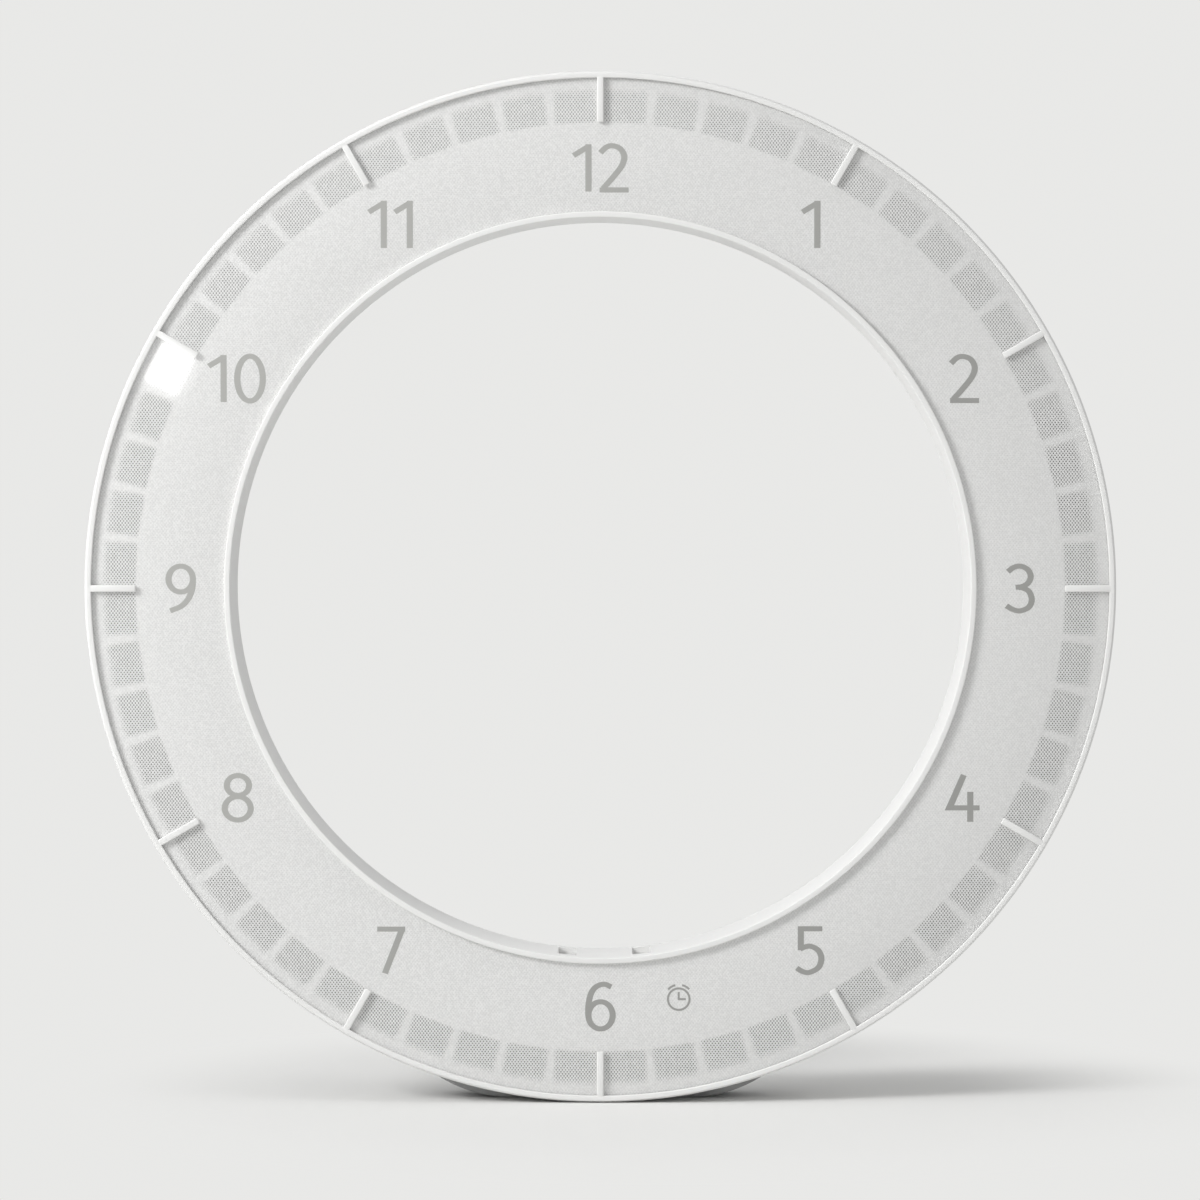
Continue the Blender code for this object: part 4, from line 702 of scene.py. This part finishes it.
def add_piece(name, mesh, finish, replaced, body="clock"):
    """Named piece drawn in the dial's frame, which stands for nodes of the CAD frame."""
    mesh.name = name
    mesh.materials.clear()
    mesh.materials.append(finish)
    mesh.shade_smooth()
    mesh.set_sharp_from_angle(angle=SMOOTH_ANGLE)
    mesh.transform(DIAL)
    piece = new_object(name, mesh)
    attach(piece, body)
    if replaced:
        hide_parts(*replaced)
    return piece


def evaluated_mesh(helper):
    """Mesh of a helper object with its modifiers applied; the helper is removed."""
    bpy.context.view_layer.update()
    graph = bpy.context.evaluated_depsgraph_get()
    mesh = bpy.data.meshes.new_from_object(helper.evaluated_get(graph))
    bpy.data.objects.remove(helper, do_unlink=True)
    return mesh


def combined(mesh, other, operation):
    """Two solids joined, or the second cut from the first."""
    helper = new_object("helper", mesh)
    cutter = new_object("helper", other)
    change = helper.modifiers.new("Combine", "BOOLEAN")
    change.operation = operation
    change.solver = "EXACT"
    change.object = cutter
    result = evaluated_mesh(helper)
    bpy.data.objects.remove(cutter, do_unlink=True)
    return result


def finished_mesh(work, name="piece"):
    mesh = bpy.data.meshes.new(name)
    work.to_mesh(mesh)
    work.free()
    return mesh


def closed_mesh(work):
    bmesh.ops.remove_doubles(work, verts=work.verts, dist=WELD_DISTANCE)
    bmesh.ops.recalc_face_normals(work, faces=work.faces)
    return finished_mesh(work)


def joined(meshes):
    """One mesh of several shells."""
    work = bmesh.new()
    for mesh in meshes:
        work.from_mesh(mesh)
    return finished_mesh(work)


def placed(mesh, matrix):
    copy = mesh.copy()
    copy.transform(matrix)
    return copy


def arc(radius, start, end, steps, centre=(0.0, 0.0)):
    middle = Vector(centre)
    return [middle + polar(radius, start + (end - start) * index / steps) for index in range(steps + 1)]


def circle(radius, steps=HOLE_STEPS, centre=(0.0, 0.0)):
    return arc(radius, 0.0, FULL_TURN, steps, centre)[:-1]


def rounded_rectangle(width, height, corner, centre=(0.0, 0.0)):
    middle = Vector(centre)
    across = width / 2 - corner
    along = height / 2 - corner
    points = []
    for quarter, (side_x, side_y) in enumerate([(1, 1), (-1, 1), (-1, -1), (1, -1)]):
        place = middle + Vector((side_x * across, side_y * along))
        points += arc(corner, quarter * UP, quarter * UP + UP, CORNER_STEPS, place)
    return points


def filleted(corners):
    """Closed outline of (x, y, rounding) corners with each rounding drawn as an arc."""
    points = []
    count = len(corners)
    for index, (x, y, rounding) in enumerate(corners):
        corner = Vector((x, y))
        if not rounding:
            points.append(corner)
            continue
        before = (Vector(corners[index - 1][:2]) - corner).normalized()
        after = (Vector(corners[(index + 1) % count][:2]) - corner).normalized()
        half = before.angle(after) / 2
        cut = rounding / math.tan(half)
        weight = math.sin(half)
        for step in range(ROUND_STEPS + 1):
            share = step / ROUND_STEPS
            pulls = ((1 - share) ** 2, 2 * share * (1 - share) * weight, share ** 2)
            total = (corner + before * cut) * pulls[0] + corner * pulls[1]
            total += (corner + after * cut) * pulls[2]
            points.append(total / sum(pulls))
    return points


def add_skin(work, rows):
    """Faces between closed rows of corners, from each row to the next."""
    for row, following in zip(rows, rows[1:]):
        for place, corner in enumerate(row):
            beyond = (place + 1) % len(row)
            work.faces.new((corner, following[place], following[beyond], row[beyond]))


def turned(outline, steps=RING_STEPS):
    """Ring or knob turned about Z from a closed outline of (radius, z)."""
    work = bmesh.new()
    rows = []
    for index in range(steps):
        turn = Matrix.Rotation(2 * math.pi * index / steps, 3, "Z")
        rows.append([work.verts.new(turn @ Vector((point[0], 0.0, point[1]))) for point in outline])
    add_skin(work, rows + rows[:1])
    bmesh.ops.remove_doubles(work, verts=work.verts, dist=WELD_DISTANCE)
    bmesh.ops.dissolve_degenerate(work, edges=work.edges, dist=WELD_DISTANCE)
    return closed_mesh(work)


def flat(outlines, back, front, rounding=0.0):
    """Flat piece between two levels; outlines inside the first one are openings."""
    curve = bpy.data.curves.new("outline", "CURVE")
    curve.dimensions = "2D"
    curve.fill_mode = "BOTH"
    curve.extrude = (front - back) / 2 - rounding
    curve.bevel_depth = rounding
    curve.bevel_resolution = RIM_STEPS
    curve.offset = -rounding
    for outline in outlines:
        spline = curve.splines.new("POLY")
        spline.points.add(len(outline) - 1)
        for point, place in zip(spline.points, outline):
            point.co = (place[0], place[1], 0.0, 1.0)
        spline.use_cyclic_u = True
    mesh = evaluated_mesh(new_object("outline", curve))
    mesh.transform(Matrix.Translation((0.0, 0.0, (front + back) / 2)))
    work = bmesh.new()
    work.from_mesh(mesh)
    return closed_mesh(work)


def add_box(work, low, high, rounding=0.0, turn=Matrix()):
    """Box between two corners with rounded edges, turned afterwards."""
    low = Vector(low)
    high = Vector(high)
    size = Matrix.Diagonal((*(high - low), 1.0))
    made = bmesh.ops.create_cube(work, size=1.0, matrix=turn @ Matrix.Translation((low + high) / 2) @ size)
    if rounding:
        edges = {edge for corner in made["verts"] for edge in corner.link_edges}
        bmesh.ops.bevel(
            work, geom=list(edges), offset=rounding, segments=BOX_STEPS, profile=0.5, affect="EDGES",
            clamp_overlap=True,
        )


def boxes(corners, rounding=0.0):
    work = bmesh.new()
    for low, high in corners:
        add_box(work, low, high, rounding)
    return finished_mesh(work)


def add_rod(work, radius, start, end, end_radius=None):
    """Round rod between two points, tapered if its end has a radius of its own."""
    start = Vector(start)
    end = Vector(end)
    reach = end - start
    place = Matrix.Translation((start + end) / 2) @ reach.to_track_quat("Z", "Y").to_matrix().to_4x4()
    if end_radius is None:
        end_radius = radius
    bmesh.ops.create_cone(
        work, cap_ends=True, segments=HOLE_STEPS, radius1=radius, radius2=end_radius, depth=reach.length,
        matrix=place,
    )


def rods(given):
    """Rods of (radius, start, end), with an end radius where it differs."""
    work = bmesh.new()
    for rod in given:
        add_rod(work, *rod)
    return finished_mesh(work)


# Shell


def make_outer_bezel():
    """Outer rim that laps over the cloth's edge, with its rear lip and the twelve hour bars."""
    rim_back = FABRIC_FRONT + FIT_GAP
    lip_front = -BEZEL_DEPTH
    lip_back = lip_front - BEZEL_LIP_THICKNESS
    lip_radius = BODY_OUTER + FIT_GAP
    outline = filleted([
        (RING_RADIUS - RIM_CHAMFER[0], 0.0, RIM_ROUNDING),
        (RING_RADIUS, -RIM_CHAMFER[1], RIM_CHAMFER[1] / 2),
        (RING_RADIUS, lip_back, EDGE_ROUNDING),
        (lip_radius, lip_back, EDGE_ROUNDING),
        (lip_radius, lip_front, 0.0),
        (BEZEL_INNER, lip_front, 0.0),
        (BEZEL_INNER, rim_back, 0.0),
        (RIM_INNER, rim_back, 0.0),
        (RIM_INNER, 0.0, RIM_ROUNDING),
    ])
    work = bmesh.new()
    low = (WINDOW_INNER_RADIUS, -BAR_WIDTH / 2, rim_back)
    high = (BEZEL_INNER + BAR_ROUNDING * 2, BAR_WIDTH / 2, -HIDDEN_STEP)
    for hour in range(HOUR_COUNT):
        add_box(work, low, high, BAR_ROUNDING, Matrix.Rotation(math.radians(hour * HOUR_STEP), 4, "Z"))
    mesh = joined([turned(outline), finished_mesh(work)])
    add_piece("bezel_with_hour_bars", mesh, WHITE_SHELL, ["outer_bezel"])


def make_inner_sleeve():
    """Inner rim and the hole's wall, with the two button wells at its bottom."""
    flange_back = FLANGE_FRONT - FLANGE_THICKNESS
    flange_radius = SLEEVE_OUTER + FLANGE_WIDTH
    outline = filleted([
        (SLEEVE_OUTER, 0.0, RIM_ROUNDING),
        (SLEEVE_OUTER, FLANGE_FRONT, 0.0),
        (flange_radius, FLANGE_FRONT, 0.0),
        (flange_radius, flange_back, 0.0),
        (SLEEVE_OUTER, flange_back, 0.0),
        (SLEEVE_OUTER, SHELL_BACK, 0.0),
        (HOLE_RADIUS, SHELL_BACK, 0.0),
        (HOLE_RADIUS, 0.0, RIM_ROUNDING),
    ])
    root = -(HOLE_RADIUS + FIT_GAP)
    side = WELL_WIDTH / 2 + POCKET_WALL
    pockets = []
    wells = []
    for place in BUTTON_PLACES.values():
        low = (place - side, POCKET_BOTTOM, WELL_BACK - POCKET_WALL)
        high = (place + side, root, WELL_FRONT + POCKET_WALL)
        pockets.append((low, high))
        low = (place - WELL_WIDTH / 2, POCKET_BOTTOM - CUT_OVERRUN, WELL_BACK)
        high = (place + WELL_WIDTH / 2, CUT_OVERRUN * 2 - HOLE_RADIUS, WELL_FRONT)
        wells.append((low, high))
    mesh = combined(turned(outline), boxes(pockets), "UNION")
    mesh = combined(mesh, boxes(wells), "DIFFERENCE")
    posts = []
    for angle in SLEEVE_SCREW_ANGLES:
        place = polar(SLEEVE_SCREW_RADIUS, angle)
        posts.append((BOSS_RADIUS, (*place, SHELL_BACK), (*place, SHELL_BACK + BOSS_HEIGHT)))
    for level in (WELL_MIDDLE - BUTTON_POST_PITCH / 2, WELL_MIDDLE + BUTTON_POST_PITCH / 2):
        ends = [(BUTTON_MIDDLE, height, level) for height in (BUTTON_POST_END, root)]
        posts.append((BUTTON_POST_RADIUS, *ends))
    mesh = joined([mesh, rods(posts)])
    add_piece("hole_sleeve", mesh, WHITE_SHELL, ["inner_sleeve"])


def make_main_body():
    """Wall ring between bezel and cover, with its front flange and the bosses for the cover's screws."""
    flange_back = FIT_GAP - BEZEL_DEPTH
    outline = filleted([
        (BODY_OUTER + CUT_OVERRUN, FLANGE_FRONT, 0.0),
        (BODY_OUTER + CUT_OVERRUN, flange_back, 0.0),
        (BODY_OUTER, flange_back, 0.0),
        (BODY_OUTER, SHELL_BACK, EDGE_ROUNDING / 2),
        (BODY_INNER, SHELL_BACK, 0.0),
        (BODY_INNER, FLANGE_FRONT, 0.0),
    ])
    bosses = []
    for angle in COVER_SCREW_ANGLES:
        place = polar(COVER_SCREW_RADIUS, angle)
        bosses.append((BOSS_RADIUS, (*place, SHELL_BACK + HIDDEN_STEP), (*place, SHELL_BACK + BOSS_HEIGHT)))
    mesh = joined([turned(outline), rods(bosses)])
    add_piece("body_ring", mesh, WHITE_SHELL, ["main_body"])


def keyhole_outline(margin=0.0):
    """Round entry below and a round-ended slot above it, widened by a margin."""
    entry = KEYHOLE_ENTRY_RADIUS + margin
    half_slot = KEYHOLE_SLOT_WIDTH / 2 + margin
    painted_light_and_patches = math.degrees(math.asin(half_slot / entry))
    low = (0.0, HANGER_RADIUS - KEYHOLE_ENTRY_DROP)
    high = (0.0, HANGER_RADIUS + KEYHOLE_SLOT_RISE)
    points = arc(entry, UP + painted_light_and_patches, UP + FULL_TURN - painted_light_and_patches, HOLE_STEPS, low)
    return points + arc(half_slot, 0.0, 2 * UP, HOLE_STEPS // 2, high)


def make_rear_cover():
    """Annular back with its screw seats, sound holes, keyhole and socket openings."""
    outline = filleted([
        (BODY_OUTER, COVER_FRONT, EDGE_ROUNDING / 2),
        (BODY_OUTER, COVER_BACK, COVER_ROUNDING),
        (HOLE_RADIUS, COVER_BACK, COVER_ROUNDING),
        (HOLE_RADIUS, COVER_FRONT, EDGE_ROUNDING / 2),
    ])
    front = COVER_FRONT + CUT_OVERRUN
    back = COVER_BACK - CUT_OVERRUN
    seats = [polar(COVER_SCREW_RADIUS, angle) for angle in COVER_SCREW_ANGLES]
    seats += [polar(SLEEVE_SCREW_RADIUS, angle) for angle in SLEEVE_SCREW_ANGLES]
    bore = SCREW_HEAD_RADIUS + FIT_GAP
    bores = []
    holes = []
    for place in seats:
        bores.append((bore, (*place, SEAT_FLOOR), (*place, back)))
        holes.append((PILOT_RADIUS, (*place, back), (*place, front)))
    centre = Vector((BUZZER_PLACE, -COMPONENT_RADIUS))
    for place in [centre] + circle(SOUND_HOLE_PITCH, SOUND_HOLE_COUNT, centre):
        holes.append((SOUND_HOLE_RADIUS, (*place, back), (*place, front)))
    width, height = [size + SOCKET_CLEARANCE * 2 for size in SOCKET_SIZE]
    opening = rounded_rectangle(width, height, SOCKET_SIZE[1] / 2, (0.0, -COMPONENT_RADIUS))
    keyhole = keyhole_outline(HANGER_OPENING_MARGIN)
    low = COVER_BACK - SEAT_CHAMFER
    high = COVER_BACK + SEAT_CHAMFER * 2
    ends = (bore - SEAT_CHAMFER, bore + SEAT_CHAMFER * 2)
    chamfers = [(ends[0], (*place, high), (*place, low), ends[1]) for place in seats]
    mesh = turned(outline)
    flats = [flat([hole], back, front) for hole in (opening, keyhole)]
    for cutter in (rods(bores), rods(holes), *flats, rods(chamfers)):
        mesh = combined(mesh, cutter, "DIFFERENCE")
    root = COVER_FRONT - JOIN_OVERLAP
    posts = []
    for radius in CONTROL_POST_RADII:
        for angle in CONTROL_POST_ANGLES:
            place = polar(radius, angle)
            posts.append((CONTROL_POST_RADIUS, (*place, root), (*place, CONTROL_POST_END)))
    mesh = joined([mesh, rods(posts)])
    add_piece("back_cover", mesh, WHITE_SHELL, ["rear_cover"])


# Dial


def make_dial_cloth(prints):
    """Cloth stretched flat over its carrier between the two rims."""
    edge = FABRIC_THICKNESS / 4
    outline = filleted([
        (DIAL_OUTER, FABRIC_FRONT, edge),
        (DIAL_OUTER, FABRIC_BACK, 0.0),
        (DIAL_INNER, FABRIC_BACK, 0.0),
        (DIAL_INNER, FABRIC_FRONT, edge),
    ])
    cloth = add_piece("dial_cloth", turned(outline), WHITE_CLOTH, ["dial_fabric"])


def smooth_path(points):
    """Catmull-Rom curve through the points."""
    points = [Vector(point) for point in points]
    first = points[0] * 2 - points[1]
    last = points[-1] * 2 - points[-2]
    guides = [first] + points + [last]
    path = []
    for index in range(1, len(guides) - 2):
        before, start, end, after = guides[index - 1:index + 3]
        for step in range(PEN_STEPS):
            share = step / PEN_STEPS
            pull = (end - before) * share
            bend = (before * 2 - start * 5 + end * 4 - after) * share ** 2
            turn = (start * 3 - before - end * 3 + after) * share ** 3
            path.append((start * 2 + pull + bend + turn) / 2)
    path.append(points[-1])
    return path


def pen_outlines(path, pen, closed=False):
    """Outlines of a stroke drawn along a path with an oval pen of (width, height)."""
    count = len(path)
    left = []
    right = []
    for index, point in enumerate(path):
        before = path[index - 1] if closed or index else point
        after = path[(index + 1) % count] if closed or index < count - 1 else point
        ways = [way.normalized() for way in (point - before, after - point) if way.length > 0.0]
        normals = [Vector((-way.y, way.x)) for way in ways]
        mitre = sum(normals, Vector((0.0, 0.0))) / len(normals)
        mitre = mitre / mitre.length_squared
        reach = Vector((mitre.x * pen[0] / 2, mitre.y * pen[1] / 2))
        left.append(point + reach)
        right.append(point - reach)
    return [left, right] if closed else [left + right[::-1]]


def stroke_outlines(stroke):
    """Outlines of one stroke of a digit, centred on the digit."""
    kind, *points = stroke
    points = [Vector(point) * NUMERAL_HEIGHT for point in points]
    pen = (STEM_SHARE * NUMERAL_HEIGHT, HAIRLINE_SHARE * NUMERAL_HEIGHT)
    if kind == "oval":
        centre, radii = points
        places = circle(1.0, HOLE_STEPS * 2)
        path = [centre + Vector((place.x * radii.x, place.y * radii.y)) for place in places]
        return pen_outlines(path, pen, closed=True)
    if kind == "curve":
        points = smooth_path(points)
    return pen_outlines(points, pen)


def printed(outlines):
    return flat(outlines, FABRIC_FRONT - PRINT_ROOT, FABRIC_FRONT + PRINT_RELIEF)


def digit_mesh(digit):
    """Solid of a printed digit, its strokes joined."""
    meshes = [printed(stroke_outlines(stroke)) for stroke in DIGIT_SHARES[digit]]
    solid = meshes[0]
    for mesh in meshes[1:]:
        solid = combined(solid, mesh, "UNION")
    return solid


def make_numerals():
    digits = {digit: digit_mesh(digit) for digit in DIGIT_SHARES}
    copies = []
    for hour, digit_places in HOUR_SHARES.items():
        x, y = polar(NUMERAL_RADIUS, UP - hour * HOUR_STEP)
        for digit, share in digit_places:
            copies.append(placed(digits[digit], Matrix.Translation((x + share * NUMERAL_HEIGHT, y, 0.0))))
    return add_piece("hour_numerals", joined(copies), PRINT_INK, [])


def make_alarm_icon():
    """Pictogram of an alarm clock: a ring, two hands and two bells."""
    pen = (ICON_LINE, ICON_LINE)
    hands = [Vector((0.0, ICON_HAND_LENGTH)), Vector((0.0, 0.0)), Vector((ICON_HAND_LENGTH, 0.0))]
    shapes = [
        pen_outlines(circle(ICON_RADIUS, HOLE_STEPS * 2), pen, closed=True),
        pen_outlines(hands, pen),
        pen_outlines(arc(ICON_ARC_RADIUS, BELL_START, BELL_END, PEN_STEPS), pen),
        pen_outlines(arc(ICON_ARC_RADIUS, 2 * UP - BELL_END, 2 * UP - BELL_START, PEN_STEPS), pen),
    ]
    mesh = joined([printed(outlines) for outlines in shapes])
    mesh.transform(Matrix.Translation((*polar(NUMERAL_RADIUS, ICON_ANGLE), 0.0)))
    return add_piece("alarm_pictogram", mesh, PRINT_INK, [])


# Small pieces


def screw_mesh():
    """Screw along Z with a domed head, a cross recess and the underside of its head at z = 0."""
    head = turned(filleted([
        (0.0, SCREW_HEAD_HEIGHT, 0.0),
        (0.0, 0.0, 0.0),
        (SCREW_HEAD_RADIUS, 0.0, 0.0),
        (SCREW_HEAD_RADIUS, SCREW_HEAD_HEIGHT, SCREW_HEAD_ROUNDING),
    ]), HOLE_STEPS * 2)
    floor = SCREW_HEAD_HEIGHT - RECESS_DEPTH
    top = SCREW_HEAD_HEIGHT + CUT_OVERRUN
    for size in ((RECESS_LENGTH, RECESS_WIDTH), (RECESS_WIDTH, RECESS_LENGTH)):
        slot = boxes([((-size[0] / 2, -size[1] / 2, floor), (size[0] / 2, size[1] / 2, top))])
        head = combined(head, slot, "DIFFERENCE")
    shank = rods([(SCREW_SHANK_RADIUS, (0.0, 0.0, HIDDEN_STEP), (0.0, 0.0, -SCREW_LENGTH))])
    return joined([head, shank])


def make_cover_screws():
    screw = screw_mesh()
    groups = (
        ("cover_screw", COVER_SCREW_RADIUS, COVER_SCREW_ANGLES),
        ("sleeve_screw", SLEEVE_SCREW_RADIUS, SLEEVE_SCREW_ANGLES),
    )
    for name, radius, angles in groups:
        for number, angle in enumerate(angles, start=1):
            turn = Matrix.Rotation(math.radians(angle + number * SCREW_TURN), 4, "Z")
            seat = Matrix.Translation((*polar(radius, angle), SCREW_SEAT))
            mesh = placed(screw, seat @ Matrix.Rotation(math.pi, 4, "X") @ turn)
            add_piece(f"{name}_head_{number}", mesh, STEEL, [f"{name}_{number}"])


def make_hanger():
    outlines = [rounded_rectangle(*HANGER_SIZE, HANGER_CORNER, (0.0, HANGER_RADIUS)), keyhole_outline()]
    across = HANGER_SIZE[0] / 2 - HANGER_SCREW_INSET
    for side in (-1, 1):
        outlines.append(circle(HANGER_SCREW_HOLE, HOLE_STEPS, (side * across, HANGER_RADIUS)))
    mesh = flat(outlines, SHELL_BACK, SHELL_BACK + HANGER_THICKNESS, HANGER_ROUNDING)
    add_piece("keyhole_plate", mesh, STEEL, ["hanger_plate"])


def make_power_socket():
    """Inlet with a rounded shell, its tongue and the tongue's contacts."""
    place = (0.0, -COMPONENT_RADIUS)
    corner = SOCKET_SIZE[1] / 2 - SOCKET_WALL
    floor = SOCKET_BACK + SOCKET_BORE_DEPTH
    shell = rounded_rectangle(*SOCKET_SIZE, corner, place)
    bore_size = [size - SOCKET_WALL * 2 for size in SOCKET_SIZE]
    bore = rounded_rectangle(*bore_size, corner - SOCKET_WALL, place)
    tube = flat([shell, bore], SOCKET_BACK, floor, SOCKET_ROUNDING)
    base = flat([shell], floor, SOCKET_FRONT)
    tongue_end = SOCKET_BACK + TONGUE_SHORTFALL
    half = (TONGUE_SIZE[0] / 2, TONGUE_SIZE[1] / 2)
    low = (-half[0], place[1] - half[1], tongue_end)
    high = (half[0], place[1] + half[1], floor + JOIN_OVERLAP)
    tongue = boxes([(low, high)], SOCKET_ROUNDING)
    mesh = joined([tube, base])
    add_piece("inlet_shell", mesh, STEEL, ["power_socket"])
    add_piece("inlet_tongue", tongue, BLACK_PLASTIC, [])
    strips = []
    for index in range(CONTACT_COUNT):
        x = (index - CONTACT_COUNT // 2) * CONTACT_PITCH
        for side in (-1, 1):
            level = place[1] + side * half[1]
            strips.append((
                (x - CONTACT_SIZE[0] / 2, level - CONTACT_SIZE[1], tongue_end + SOCKET_ROUNDING * 2),
                (x + CONTACT_SIZE[0] / 2, level + CONTACT_SIZE[1], floor),
            ))
    add_piece("inlet_contacts", boxes(strips), GOLD_LINK, [])


def make_button(name):
    """Key cap with its flange and plunger, sunk in its well."""
    x = BUTTON_PLACES[name]
    half_width = WELL_WIDTH / 2 - FIT_GAP
    half_length = (WELL_FRONT - WELL_BACK) / 2 - FIT_GAP
    flange_width = half_width + CAP_FLANGE_WIDTH
    flange_length = half_length + CAP_FLANGE_WIDTH
    top = POCKET_BOTTOM - FIT_GAP
    bottom = top - CAP_FLANGE_THICKNESS
    work = bmesh.new()
    low = (x - half_width, (top + bottom) / 2, WELL_MIDDLE - half_length)
    high = (x + half_width, CAP_TOP, WELL_MIDDLE + half_length)
    add_box(work, low, high, CAP_ROUNDING)
    low = (x - flange_width, bottom, WELL_MIDDLE - flange_length)
    high = (x + flange_width, top, WELL_MIDDLE + flange_length)
    add_box(work, low, high, CAP_ROUNDING / 2)
    add_rod(work, PLUNGER_RADIUS, (x, top, WELL_MIDDLE), (x, bottom - PLUNGER_LENGTH, WELL_MIDDLE))
    add_piece(f"{name}_cap", finished_mesh(work), WHITE_KEY, [f"{name}_button"], f"{name}_key")


def make_foot():
    """Rubber foot with a flat sole whose ends rise in an arc to meet the body."""
    saddle = BODY_OUTER + FIT_GAP
    centre = Vector((FOOT_FLAT_HALF, FOOT_SIDE_RADIUS - RING_RADIUS))
    reach = centre.length
    along = (saddle ** 2 - FOOT_SIDE_RADIUS ** 2 + reach ** 2) / (2 * reach)
    way = centre.normalized()
    tip = way * along + Vector((-way.y, way.x)) * math.sqrt(saddle ** 2 - along ** 2)
    side_angle = math.degrees(math.atan2(tip.y - centre.y, tip.x - centre.x))
    side = arc(FOOT_SIDE_RADIUS, DOWN, side_angle, HOLE_STEPS, centre)
    sole = [Vector((-point.x, point.y)) for point in reversed(side)] + side
    work = bmesh.new()
    rows = []
    for point in sole:
        seat = -math.sqrt(saddle ** 2 - point.x ** 2)
        cut = min(FOOT_ROUNDING, (seat - point.y) * FOOT_TIP_SHARE)
        section = [(seat, FOOT_FRONT), (seat, FOOT_BACK)]
        corner = arc(cut, 0.0, UP, ROUND_STEPS)
        section += [(point.y + cut - turn.y, FOOT_BACK + cut - turn.x) for turn in corner]
        section += [(point.y + cut - turn.y, FOOT_FRONT - cut + turn.x) for turn in reversed(corner)]
        rows.append([work.verts.new((point.x, y, z)) for y, z in section])
    add_skin(work, rows)
    add_piece("rubber_foot", closed_mesh(work), DARK_RUBBER, ["foot"])


# Carried-over pieces


KEPT_FINISHES = (
    (GREY_PLATE, ["window_plate"]),
    (MILKY_SHEET, ["light_diffuser"]),
    (GRID_PLASTIC, ["light_grid"]),
    (WHITE_BOARD, ["led_board"]),
    (GREEN_BOARD, ["control_board", "button_board"]),
    (GOLD_LINK, ["led_link"]),
    (GREY_RIBBON, ["button_ribbon"]),
    (ALUMINIUM_CAN, ["power_capacitor"]),
    (STEEL, ["led_board_screw", "hanger_screw", "foot_screw", "control_board_screw", "button_board_screw"]),
    (STEEL, ["clock_crystal", "backup_cell", "time_switch_body", "alarm_switch_body"]),
    (BLACK_PLASTIC, ["microcontroller", "voltage_regulator", "buzzer", "cell_holder", "led_connector"]),
    (BLACK_PLASTIC, ["time_switch_stem", "alarm_switch_stem"]),
)


def finish_kept_nodes():
    """Gives the carried-over nodes their finishes; a name's number at its end doesn't count."""
    for name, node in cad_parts.items():
        kind = name.rstrip("_0123456789")
        for finish, kinds in KEPT_FINISHES:
            if kind in kinds:
                for slot in node.material_slots:
                    slot.material = finish


# Stage


def make_stage():
    """Pale floor with the object's shadow and painted shade that darkens it towards the left; away from the
    object it shows one even tone.
    """
    finish, tree, shader, spot = start_finish("paper")
    parts = split(tree, spot)
    # Painted shade: the floor is darker towards the left and lighter towards the right, deepening its
    # shadow on the left and softening it on the right.
    painted_floor_shade = fade(tree, parts["X"], *PAPER_SHADE_ENDS)
    feed(tree, shader.inputs["Base Color"], mixed(tree, painted_floor_shade, *PAPER_SHADE_TINTS))
    feed(tree, shader.inputs["Roughness"], varied(tree, speckle(tree, spot, PAPER_GRAIN), *PAPER_ROUGHNESS))
    shader.inputs["Specular IOR Level"].default_value = PAPER_SPECULAR
    spans = []
    for axis, middle, half in zip("XY", SHADOW_POOL_MIDDLE, SHADOW_POOL):
        spans.append(maths(tree, "DIVIDE", minus(tree, parts[axis], middle), half))
    away = fade(tree, length(tree, *spans), *SHADOW_POOL_SHARES)
    even = tree.nodes.new("ShaderNodeEmission")
    even.inputs["Color"].default_value = PAPER_TONE
    ray = tree.nodes.new("ShaderNodeLightPath").outputs["Is Camera Ray"]
    blend_shaders(tree, times(tree, away, ray), shader.outputs["BSDF"], even.outputs["Emission"])
    work = bmesh.new()
    bmesh.ops.create_grid(work, x_segments=1, y_segments=1, size=FLOOR_HALF_WIDTH)
    mesh = finished_mesh(work, "paper_floor")
    mesh.materials.append(finish)
    floor = new_object("paper_floor", mesh)


def aim(item, target):
    way = Vector(target) - item.location
    item.rotation_mode = "QUATERNION"
    item.rotation_quaternion = way.to_track_quat("-Z", "Y")


def add_softbox(name, place, size, power):
    light = bpy.data.lights.new(name, "AREA")
    light.shape = "SQUARE"
    light.size = size
    light.energy = power
    box = new_object(name, light)
    box.location = place
    aim(box, AIM_POINT)


def make_lights():
    add_softbox("key_softbox", **KEY_LIGHT)
    add_softbox("top_softbox", **TOP_LIGHT)
    world = bpy.data.worlds.new("studio")
    world.use_nodes = True
    tree = world.node_tree
    glow = tree.nodes["Background"]
    glow.inputs["Color"].default_value = WHITE
    glow.inputs["Strength"].default_value = WORLD_LEVEL
    backdrop = tree.nodes.new("ShaderNodeBackground")
    backdrop.inputs["Color"].default_value = PAPER_TONE
    ray = tree.nodes.new("ShaderNodeLightPath").outputs["Is Camera Ray"]
    blend_shaders(tree, ray, glow.outputs["Background"], backdrop.outputs["Background"], "World Output")
    bpy.context.scene.world = world


def make_camera():
    lens = bpy.data.cameras.new("camera")
    lens.lens = CAMERA_LENS
    camera = new_object("camera", lens)
    camera.location = CAMERA_PLACE
    aim(camera, CAMERA_AIM)
    bpy.context.scene.camera = camera
    bpy.context.scene.view_settings.view_transform = "Standard"


make_outer_bezel()
make_inner_sleeve()
make_main_body()
make_rear_cover()
make_dial_cloth([make_numerals(), make_alarm_icon()])
make_cover_screws()
make_hanger()
make_power_socket()
for button in BUTTON_PLACES:
    make_button(button)
make_foot()
finish_kept_nodes()
make_stage()
make_lights()
make_camera()
